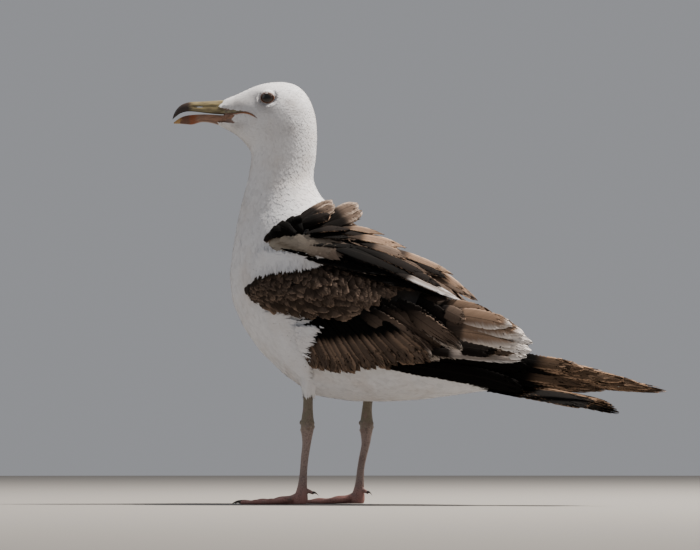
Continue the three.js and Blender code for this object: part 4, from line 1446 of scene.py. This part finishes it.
tail_coverts()

# %% [markdown]
# ## Eyes
# A museum's glass eye is a ball with a painted iris under a clear cornea. Here the ball's front is drawn out
# a little as the cornea, and a clear coat gives the wet shine. The iris of a young bird is dark brown, so
# the pupil hardly stands out. The colour follows the angle from the eye's axis, kept on every point as an
# attribute. Round it run the orange ring of bare skin and a pale lid of tiny feathers, both spun as rings
# and then pressed onto the ball in an oval.

# %% Eyeballs
def eye_material():
    shader = Shader("dark_brown_eye", 0.25, 0.3, Coat_Weight=0.45, Coat_Roughness=0.03)
    angle = parts_of(shader, "gaze")
    rays = shader.noise(3.0, 4, shader.add("CombineXYZ", {0: angle[1], 1: angle[0]}).outputs[0])
    iris = shader.mix(rays, srgb(30, 20, 15), srgb(58, 40, 29))
    pupil = shader.ramp(angle[0], 0.42, 0.34)
    edge = shader.ramp(angle[0], 0.60, 0.74)
    colour = shader.mix(pupil, iris, (0.004, 0.003, 0.003))
    shader.colour(shader.mix(edge, colour, (0.02, 0.012, 0.008)))
    return shader.material


eye_look = eye_material()
for side in SIDES:
    bm = bmesh.new()
    bmesh.ops.create_uvsphere(bm, u_segments=48, v_segments=32, radius=EYE_RADIUS)
    axis = eye_axis(side)
    bm.transform(axis.to_track_quat("Z", "Y").to_matrix().to_4x4())
    gaze = []
    for vertex in bm.verts:
        angle = vertex.co.angle(axis)
        gaze.append((angle, math.atan2(vertex.co.z, vertex.co.dot(head_forward)) * 4, 0))
        vertex.co *= 1 + 0.06 * max(0.0, math.cos(min(angle * 2.2, math.pi / 2)))
        vertex.co += EYE_AT[side]
    ball = object_from(bm, "eyeball_" + side)
    put_attribute(ball.data, "gaze", np.array(gaze))
    finish(ball, ("eye_" + side,), eye_look)


# %% Rings and lids
def lid_ring(name, half_long, half_tall, thick, flat, material, stand):
    """An oval ring pressed onto both eyeballs, as one piece."""
    bm = bmesh.new()
    for side in SIDES:
        part = bmesh.new()
        section = bmesh.ops.create_circle(part, segments=10, radius=1)["verts"]
        for vertex in section:
            vertex.co = Vector((1 + vertex.co.x * thick, 0, vertex.co.y * thick * flat))
        bmesh.ops.spin(part, geom=part.verts[:] + part.edges[:], cent=(0, 0, 0), axis=(0, 0, 1),
                       angle=2 * math.pi, steps=64, use_merge=True)
        level, upright, axis = (Vector(way) for way in eye_ways(side))
        for vertex in part.verts:
            around = math.atan2(vertex.co.y, vertex.co.x)
            beyond = math.hypot(vertex.co.x, vertex.co.y) - 1
            corner = 1 + 0.05 * math.cos(around) ** 6
            x = math.cos(around) * (half_long * corner + beyond)
            y = math.sin(around) * (half_tall + beyond)
            reach = EYE_RADIUS * 1.012 + stand + vertex.co.z
            flatness = math.sqrt(max(EYE_RADIUS ** 2 - x * x - y * y, 0)) / EYE_RADIUS
            vertex.co = EYE_AT[side] + level * x + upright * y + axis * (flatness * reach)
        bmesh.ops.recalc_face_normals(part, faces=part.faces)
        add_part(bm, part)
    finish(object_from(bm, name), (), material)


def bare_skin_material(name, colour, shade, scale, roughness=0.5, relief=0.4):
    shader = Shader(name, roughness, 0.5)
    patches = shader.noise(scale * 0.3, 4)
    shader.colour(shader.mix(patches, colour, shade))
    grain = shader.add("TexVoronoi", {"Vector": shader.add("TexCoord").outputs["Object"], "Scale": scale})
    shader.bump(grain.outputs[0], relief, 0.0003)
    return shader.material


orange_ring = bare_skin_material("orange_eye_ring", srgb(140, 82, 44), srgb(70, 44, 32), 900)
pale_lid = bare_skin_material("pale_eyelid", srgb(182, 178, 178), srgb(128, 122, 120), 1500, 0.9, 0.8)
lid_ring("eye_rings", 0.0054, 0.0045, 0.00035, 0.9, orange_ring, 0.0003)
lid_ring("eyelids", 0.0061, 0.0052, 0.0009, 0.6, pale_lid, 0.0001)

# %% [markdown]
# ## The bill
# A bill is horn over bone. The upper half is a long arch with sharp cutting edges, a hollow palate and a
# hooked dark tip. The lower half is a trough with a swelling below it, orange on a gull of this age. The
# nostril is a slot right through the upper half. Each half is bridged from many sections. They come from a
# few rows of measures with a smooth curve through them, and the slot is cut with a boolean.

# %% Sections of the bill
UPPER_ROWS = [  # forward and height of the ridge, forward and height of the cutting edge, half the width
    (30, 333, 30, 326.5, 0), (36, 335, 36, 326.2, 0), (41, 336.5, 43, 326.0, 0),
    (46.5, 337.6, 49.5, 326.2, 6.7), (56, 337.1, 56.6, 326.6, 5.9), (67.2, 336.5, 66.2, 327.6, 5.2),
    (75.5, 336.2, 73.5, 328.4, 4.6), (80.5, 335.2, 78.5, 328.5, 4.0), (84.6, 333.2, 82.2, 327.8, 3.3),
    (88, 329.8, 85.8, 326.2, 2.4), (90.2, 325.8, 88.6, 323.9, 1.5), (91.5, 321.5, 90.6, 322.2, 0.5),
]
LOWER_ROWS = [
    (36, 317, 36, 324.6, 0), (42, 316.6, 42, 324.5, 0), (51.2, 316.6, 50.2, 324.6, 5.9),
    (58.9, 318.5, 58.9, 325.2, 5.2), (66.5, 319.2, 66.5, 325.4, 4.6), (74.5, 317.2, 74.5, 325, 4.1),
    (79.8, 317.4, 80.5, 324.2, 3.3), (84.5, 317.8, 85.5, 322.2, 2.3), (90.1, 317.9, 90.3, 318.9, 0.7),
]
BILL_STATIONS = 64


def face_side(forward, height):
    """How far the face's side is from the head's middle at a place in its side view, in millimetres."""
    start = on_head(forward / 1000, 0.06, height / 1000)
    hit = form_tree.ray_cast(start, -head_left)[0]
    return 60 - (start - hit).length * 1000 if hit else 0


def bill_half(name, rows, hollow):
    """One half of the bill. Rows without a width take the face's own, so the horn ends flush with it."""
    rows = [(*row[:4], row[4] or face_side(row[2], row[3] + (2 if row[1] > row[3] else -2))) for row in rows]
    sections = []
    for ridge, top, edge, cut, half in smooth_line(rows, BILL_STATIONS):
        ring = [(math.cos(a), math.sin(a)) for a in np.linspace(0, math.pi, 27)]
        ring = [(math.copysign(abs(x) ** 0.87, x), abs(y) ** 0.87) for x, y in ring]
        ring += [(x, hollow * (1 - x * x)) for x in np.linspace(-0.86, 0.86, 11)]
        sections.append([
            on_head((edge + (ridge - edge) * y) / 1000, half * x / 1000, (cut + (top - cut) * y) / 1000)
            for x, y in ring
        ])
    bm = bmesh.new()
    loft(bm, sections)
    return object_from(bm, name)


def groove(piece):
    """The shallow groove on both sides that runs from the feathers to the nostril."""
    head = in_head(points_of(piece))
    along_bill = smoothstep(50, 57, head[:, 0]) * smoothstep(78, 72, head[:, 0])
    head[:, 1] *= 1 - 0.12 * along_bill * np.exp(-((head[:, 2] - 331.8) / 1.1) ** 2)
    move_points(piece, from_head(head))


NOSTRIL = (0.0685, 0.3318)  # forward and height
NOSTRIL_SIZE = (0.0033, 0.00065)  # half its length and height


def cut_nostril(piece):
    bm = bmesh.new()
    ends = [on_head(NOSTRIL[0], left, NOSTRIL[1]) for left in (-0.009, 0.009)]
    loft(bm, [ring_around(centre, head_forward, UP, *NOSTRIL_SIZE, 24) for centre in ends])
    cutter = object_from(bm, "nostril_cutter")
    cut = piece.modifiers.new("nostril", "BOOLEAN")
    cut.object = cutter
    cut.solver = "EXACT"
    apply_modifiers(piece)
    bpy.data.objects.remove(cutter)


def horn_material(name, base, shade, bands):
    """Smooth horn with faint streaks along the bill, and bands of colour by how far forward they lie."""
    shader = Shader(name, 0.34, 0.5)
    place = parts_of(shader, "place")
    slow = shader.math("MULTIPLY", place[0], 0.16)
    stretched = shader.add("CombineXYZ", {0: slow, 1: place[1], 2: place[2]}).outputs[0]
    streaks = shader.noise(0.55, 5, stretched, 0.6)
    clouds = shader.noise(0.3, 4, shader.attribute("place").outputs["Vector"])
    colour = shader.mix(shader.ramp(streaks, 0.35, 0.7), base, shade)
    wander = shader.math("MULTIPLY_ADD", clouds, 7.0, place[0])
    for low, high, tone in bands:
        colour = shader.mix(shader.ramp(wander, low + 3.5, high + 3.5), colour, srgb(*tone))
    shader.colour(colour)
    shader.bump(streaks, 0.3, 0.0003)
    return shader.material


upper_horn = horn_material("olive_bill_horn", srgb(134, 122, 88), srgb(92, 80, 56), [
    (74, 78.5, (54, 42, 36)),
])
lower_horn = horn_material("brown_bill_horn", srgb(140, 104, 84), srgb(96, 68, 54), [
    (68, 74, (124, 62, 24)), (75, 78.5, (92, 54, 34)), (83, 86, (160, 126, 78)),
])
upper_bill = bill_half("bill_upper_half", UPPER_ROWS, 0.32)
groove(upper_bill)
cut_nostril(upper_bill)
lower_bill = bill_half("bill_lower_half", LOWER_ROWS, 0.45)
for piece, node, horn in ((upper_bill, "upper_bill", upper_horn), (lower_bill, "lower_bill", lower_horn)):
    piece.data.set_sharp_from_angle(angle=math.radians(48))
    put_attribute(piece.data, "place", in_head(points_of(piece)))
    finish(piece, (node,), horn)
    print(piece.name, "has", len(piece.data.polygons), "faces")

# %% The corners of the mouth
GAPE = [(47.5, 325.5), (42, 325.4), (36, 325.8), (32, 326.1), (28.5, 325.7), (24.2, 323.9), (20.0, 320.8)]
GAPE_STATIONS = 40


def gape_strips():
    """A soft strip on each side, from where the halves meet back to the corner of the mouth."""
    bm = bmesh.new()
    for side in SIDES:
        sign = -SIDES[side]
        sections = []
        for t, (forward, height) in zip(np.linspace(0, 1, GAPE_STATIONS), smooth_line(GAPE, GAPE_STATIONS)):
            tall = np.interp(t, (0, 0.2, 0.6, 0.85, 1), (0.2, 0.45, 1.0, 0.9, 0.15)) / 1000
            left = face_side(min(forward, 43), height)
            centre = on_head(forward / 1000, sign * left / 1000, height / 1000)
            sections.append(ring_around(centre, head_left * sign, UP, tall * 0.8, tall, 16))
        loft(bm, sections)
    piece = object_from(bm, "gape_strips")
    heights = in_head(points_of(piece))
    middle_line = smooth_line(GAPE, 300)
    nearest = np.abs(middle_line[:, 0][None] - heights[:, 0][:, None]).argmin(axis=1)
    above = smoothstep(-0.5, 0.1, heights[:, 2] - middle_line[nearest, 1])[:, None]
    put_attribute(piece.data, "pigment", srgb(150, 96, 52) * (1 - above) + srgb(78, 54, 44) * above)
    shader = Shader("gape_skin", 0.45, 0.5)
    shader.colour(shader.attribute("pigment").outputs["Color"])
    shader.bump(shader.noise(1500, 3), 0.4, 0.0003)
    finish(piece, (), shader.material)


gape_strips()

# %% [markdown]
# ## Legs and webbed feet
# A gull stands on three webbed toes, and the knob half way up the leg is its heel. Shank, knobs, toes and
# webs are simple lofts that overlap. A voxel remesh fuses them into one skin and a little smoothing rounds
# the joints, much as clay parts are pressed together and blended. Plates run down the front of the shank
# and along the toes, with small round scales between. The material makes them from how far along the leg
# or toe each point is, which every point carries.

# %% Legs, each fused from overlapping parts
LEG_Y = 30
LEGS = {"left": (-91, -86, -85), "right": (-67, -60, -57)}  # x of the foot, the heel knob and the knee
TOES = [("inner", 42, 0.42, 2.5), ("middle", 53, 0.02, 2.8), ("outer", 49, -0.36, 2.5)]
SOLID_SHIFT = (-5.22, 0.27, 0)  # from the numbers of the solids' source to the frame, in millimetres


def leg_place(x, y, z):
    return mm(x + SOLID_SHIFT[0], y + SOLID_SHIFT[1], z)


def toe_way(side, splay):
    return Vector((-math.cos(splay), -SIDES[side] * math.sin(splay), 0))


def hind_way(side):
    return Vector((1, -SIDES[side] * 0.25, 0)).normalized()


def shank(bm, side):
    foot, heel, knee = LEGS[side]
    rows = [  # x, height, half length, half width
        (knee, 106, 5.4, 5.0), (knee, 98, 4.5, 4.2), ((heel + knee) / 2, 88, 4.1, 3.7),
        (heel + 0.3, 79, 4.3, 3.5), (heel, 72, 5.1, 3.9), (heel, 66, 5.8, 4.5), (heel - 0.3, 60.5, 5.4, 4.1),
        (heel - 0.5, 55, 4.4, 3.3), (heel - 1, 49, 3.7, 2.8), ((heel + foot) / 2, 39, 3.4, 2.5),
        (foot + 1.5, 29, 3.2, 2.5), (foot + 0.7, 19, 3.7, 3.0), (foot - 0.2, 12, 4.6, 3.7),
        (foot - 1, 7, 5.9, 4.6), (foot - 1.5, 3, 6.4, 4.9), (foot - 1.5, 0.3, 5.4, 4.2),
    ]
    y = SIDES[side] * LEG_Y
    loft(bm, [ring_around(leg_place(x, y, z), Vector((1, 0, 0)), Vector((0, 1, 0)), a / 1000, b / 1000, 28)
              for x, z, a, b in smooth_line(rows, 60)])
    knobs = [  # x, how far aside, height, radius
        (heel - 5.0, 0, 67.5, 2.3), (heel - 4.8, 0, 61.5, 1.9), (heel + 2.5, 3, 64, 2.6),
        (heel + 2.5, -3, 64, 2.6), (heel + 4.4, 0, 67, 2.0),
    ]
    for x, aside, z, size in knobs:
        made = bmesh.ops.create_uvsphere(bm, u_segments=12, v_segments=8, radius=size / 1000)["verts"]
        bmesh.ops.translate(bm, verts=made, vec=leg_place(x, y + aside, z))


def toe(bm, start, way, length, radius, joints):
    across = Vector((-way.y, way.x, 0))
    sections = []
    for s in np.linspace(0, 1, 34):
        size = (radius * (1.25 - 0.6 * s) + 0.28 * math.cos(s * joints * 2 * math.pi)) / 1000
        centre = start + way * (length * s / 1000) + UP * (size * 0.85 + 0.0045 * (1 - s) ** 4)
        ring = ring_around(centre, across, UP, size, size * 0.95, 16)
        sections.append([Vector((p.x, p.y, max(p.z, 0.0001))) for p in ring])
    loft(bm, sections)


def web(bm, start, first, second):
    """The skin between two toes: it sags to the floor, and its front edge is drawn in."""
    sections = []
    across = np.linspace(0, 1, 15)
    for s in np.linspace(0.05, 0.94, 24):
        ring = []
        for t in list(across) + list(across[::-1]):
            upper = len(ring) < len(across)
            reach = s * (1 - 0.2 * 4 * t * (1 - t) * s)
            flat = (first * (1 - t) + second * t) * reach
            height = 1.45 + 0.9 * abs(2 * t - 1) ** 3 + 0.12 * math.sin(t * 17 + s * 9) if upper else 0.25
            ring.append(start + flat + UP * (height / 1000))
        sections.append(ring)
    loft(bm, sections)


def hooked(bm, root, way, length, size, droop, arch, keep):
    """A cone that bends down to a point, for hind toes and claws. keep is its size at the tip, as a share."""
    across = Vector((-way.y, way.x, 0)).normalized()
    sections = []
    for s in np.linspace(0, 1, 14):
        wide = size * max(1 - (1 - keep) * s, 0.05) / 1000
        rise = (arch * math.sin(math.pi * s) - droop * s * s) / 1000
        centre = root + way * (length * s / 1000) + UP * rise
        sections.append(ring_around(centre, across, UP, wide * 0.75, wide, 14))
    loft(bm, sections)


def leg_marks(piece, side):
    """How far along its leg or toe each point is, whether plates cover it, and how high it is."""
    x, y, z = (points_of(piece) * 1000 - SOLID_SHIFT).T
    foot, heel, knee = LEGS[side]
    middle_x = np.interp(z, (15, 30, 50, 66, 100), (foot + 0.5, foot + 1.5, heel - 1, heel, knee))
    plates = smoothstep(0.2, -1.6, x - middle_x) * smoothstep(9, 15, z)
    flat = np.stack([x - (foot - 2), y - SIDES[side] * LEG_Y], axis=1)
    for _, _, splay, radius in TOES:
        way = np.array(toe_way(side, splay))[:2]
        off = np.abs(flat[:, 0] * way[1] - flat[:, 1] * way[0])
        plates = np.maximum(plates, smoothstep(radius * 1.05, radius * 0.7, off) * smoothstep(14, 8, z))
    run = np.where(z > 13, z, -np.linalg.norm(flat, axis=1))
    put_attribute(piece.data, "place", np.stack([run, plates, z], axis=1))


def leg(side):
    bm = bmesh.new()
    shank(bm, side)
    foot = LEGS[side][0]
    start = leg_place(foot - 2, SIDES[side] * LEG_Y, 0)
    ways = []
    for joints, (_, length, splay, radius) in enumerate(TOES):
        way = toe_way(side, splay)
        toe(bm, start, way, length, radius, joints + 2)
        ways.append(way * (length / 1000))
    web(bm, start, ways[0], ways[1])
    web(bm, start, ways[1], ways[2])
    hooked(bm, leg_place(foot, SIDES[side] * LEG_Y, 11.5), hind_way(side), 9.5, 2.7, 2.3, 0.3, keep=0.5)
    piece = object_from(bm, "leg_" + side)
    even_mesh(piece, voxel=0.0005, smoothing=5)
    leg_marks(piece, side)
    piece.data.shade_smooth()
    return piece


def leg_material():
    shader = Shader("scaly_leg_skin", 0.5, 0.45)
    place = parts_of(shader, "place")
    flecks = shader.noise(160, 5)
    shin, red, olive = srgb(152, 133, 126), srgb(170, 122, 114), srgb(114, 106, 90)
    colour = shader.mix(shader.ramp(place[2], 22, 4), shin, red)
    colour = shader.mix(shader.ramp(place[2], 56, 70), colour, olive)
    colour = shader.mix(shader.ramp(flecks, 0.45, 0.85), colour, srgb(132, 110, 104))
    colour = shader.mix(shader.ramp(place[2], 88, 90), colour, WHITE)  # the skin under the trousers
    scales = shader.add("TexVoronoi", {"Vector": shader.add("TexCoord").outputs["Object"], "Scale": 900.0})
    beads = shader.math("SUBTRACT", 1.0, scales.outputs[0])
    wander = shader.math("MULTIPLY_ADD", flecks, 0.5, shader.math("MULTIPLY", place[0], 0.45))
    plate = shader.math("POWER", shader.math("FRACT", wander), 0.35)
    edge = shader.math("MULTIPLY", plate, shader.ramp(shader.math("FRACT", wander), 1.0, 0.9))
    height = shader.add("Mix", {0: place[1], 2: beads, 3: edge}).outputs[0]
    # darker in the low places between the plates and the scales
    darker_in_grooves = shader.ramp(height, 0.55, 0.15)
    shader.colour(shader.mix(shader.math("MULTIPLY", darker_in_grooves, 0.5), colour, srgb(88, 70, 66)))
    shader.bump(height, 0.7, 0.0005)
    return shader.material


leg_look = leg_material()
for side in SIDES:
    piece = leg(side)
    finish(piece, [part + side for part in ("tibia_", "tarsus_", "foot_")], leg_look)
    print(piece.name, "has", len(piece.data.polygons), "faces")

# %% Claws
claw_look = Shader("dark_claw_horn", 0.35, 0.5)
claw_look.colour(claw_look.mix(claw_look.noise(600, 3), srgb(40, 34, 31), srgb(74, 62, 56)))
for side in SIDES:
    bm = bmesh.new()
    foot = LEGS[side][0]
    start = leg_place(foot - 2, SIDES[side] * LEG_Y, 1.9)
    for _, length, splay, _ in TOES:
        way = toe_way(side, splay)
        hooked(bm, start + way * ((length - 0.8) / 1000), way, 8.5, 1.7, 1.6, 0.7, keep=0.08)
    back = hind_way(side)
    root = leg_place(foot, SIDES[side] * LEG_Y, 9.6) + back * 0.0088
    hooked(bm, root, back, 5.4, 1.35, 2.8, 0.6, keep=0.08)
    claws = object_from(bm, "claws_" + side)
    finish(claws, ["claw_%s_%s" % (toe_name, side) for toe_name in ("inner", "middle", "outer", "hind")],
           claw_look.material)


# %% [markdown]
# ## The studio
# A museum shows its models on a plain pale floor in soft light. The key light here is a panel high behind
# the bird, so that it grazes the back and leaves the near side in soft shade. A larger dim panel and an even
# sky fill that side. The camera stands low and far off with a long lens, so there is little perspective.

# %% Floor
def studio_floor():
    bm = bmesh.new()
    bmesh.ops.create_circle(bm, cap_ends=True, segments=128, radius=4)
    floor = object_from(bm, "studio_floor")
    shader = Shader("pale_floor", 0.9, 0.2)
    shader.colour(srgb(140, 137, 133))
    floor.data.materials.append(shader.material)


studio_floor()

# %% World and lamps
MODEL_MIDDLE = mm(-66.6, 0.3, 190)


def lamp(name, place, size, power, colour):
    light = bpy.data.lights.new(name, "AREA")
    light.size = size
    light.energy = power
    light.color = colour
    holder = add_to_scene(name, light)
    holder.location = place
    holder.rotation_euler = (MODEL_MIDDLE - Vector(place)).to_track_quat("-Z", "Y").to_euler()


world = bpy.data.worlds.new("soft_sky")
world.use_nodes = True
sky = world.node_tree.nodes["Background"].inputs
sky["Color"].default_value = (0.92, 0.94, 1.0, 1)
sky["Strength"].default_value = 0.32
bpy.context.scene.world = world
lamp("key_from_behind", (0.8, 0.6, 2.5), size=0.3, power=230, colour=(1.0, 0.93, 0.85))
lamp("fill_from_front", (-2.0, -1.4, 1.4), size=1.6, power=4, colour=(0.82, 0.91, 1.0))

# %% Camera
AZIMUTH = math.radians(25)
ELEVATION = math.radians(-2.38)
DISTANCE = 3.5
FOCAL_LENGTH = 216.9  # millimetres
SENSOR_WIDTH = 36


def camera():
    back = Vector((math.sin(AZIMUTH) * math.cos(ELEVATION), -math.cos(AZIMUTH) * math.cos(ELEVATION),
                   math.sin(ELEVATION)))
    lens = bpy.data.cameras.new("long_lens")
    lens.lens = FOCAL_LENGTH
    lens.sensor_width = SENSOR_WIDTH
    holder = add_to_scene("camera", lens)
    holder.location = MODEL_MIDDLE + back * DISTANCE
    holder.rotation_euler = back.to_track_quat("Z", "Y").to_euler()
    bpy.context.scene.camera = holder
    print("the camera is", round(holder.location.z * 1000, 1), "mm above the floor")


camera()
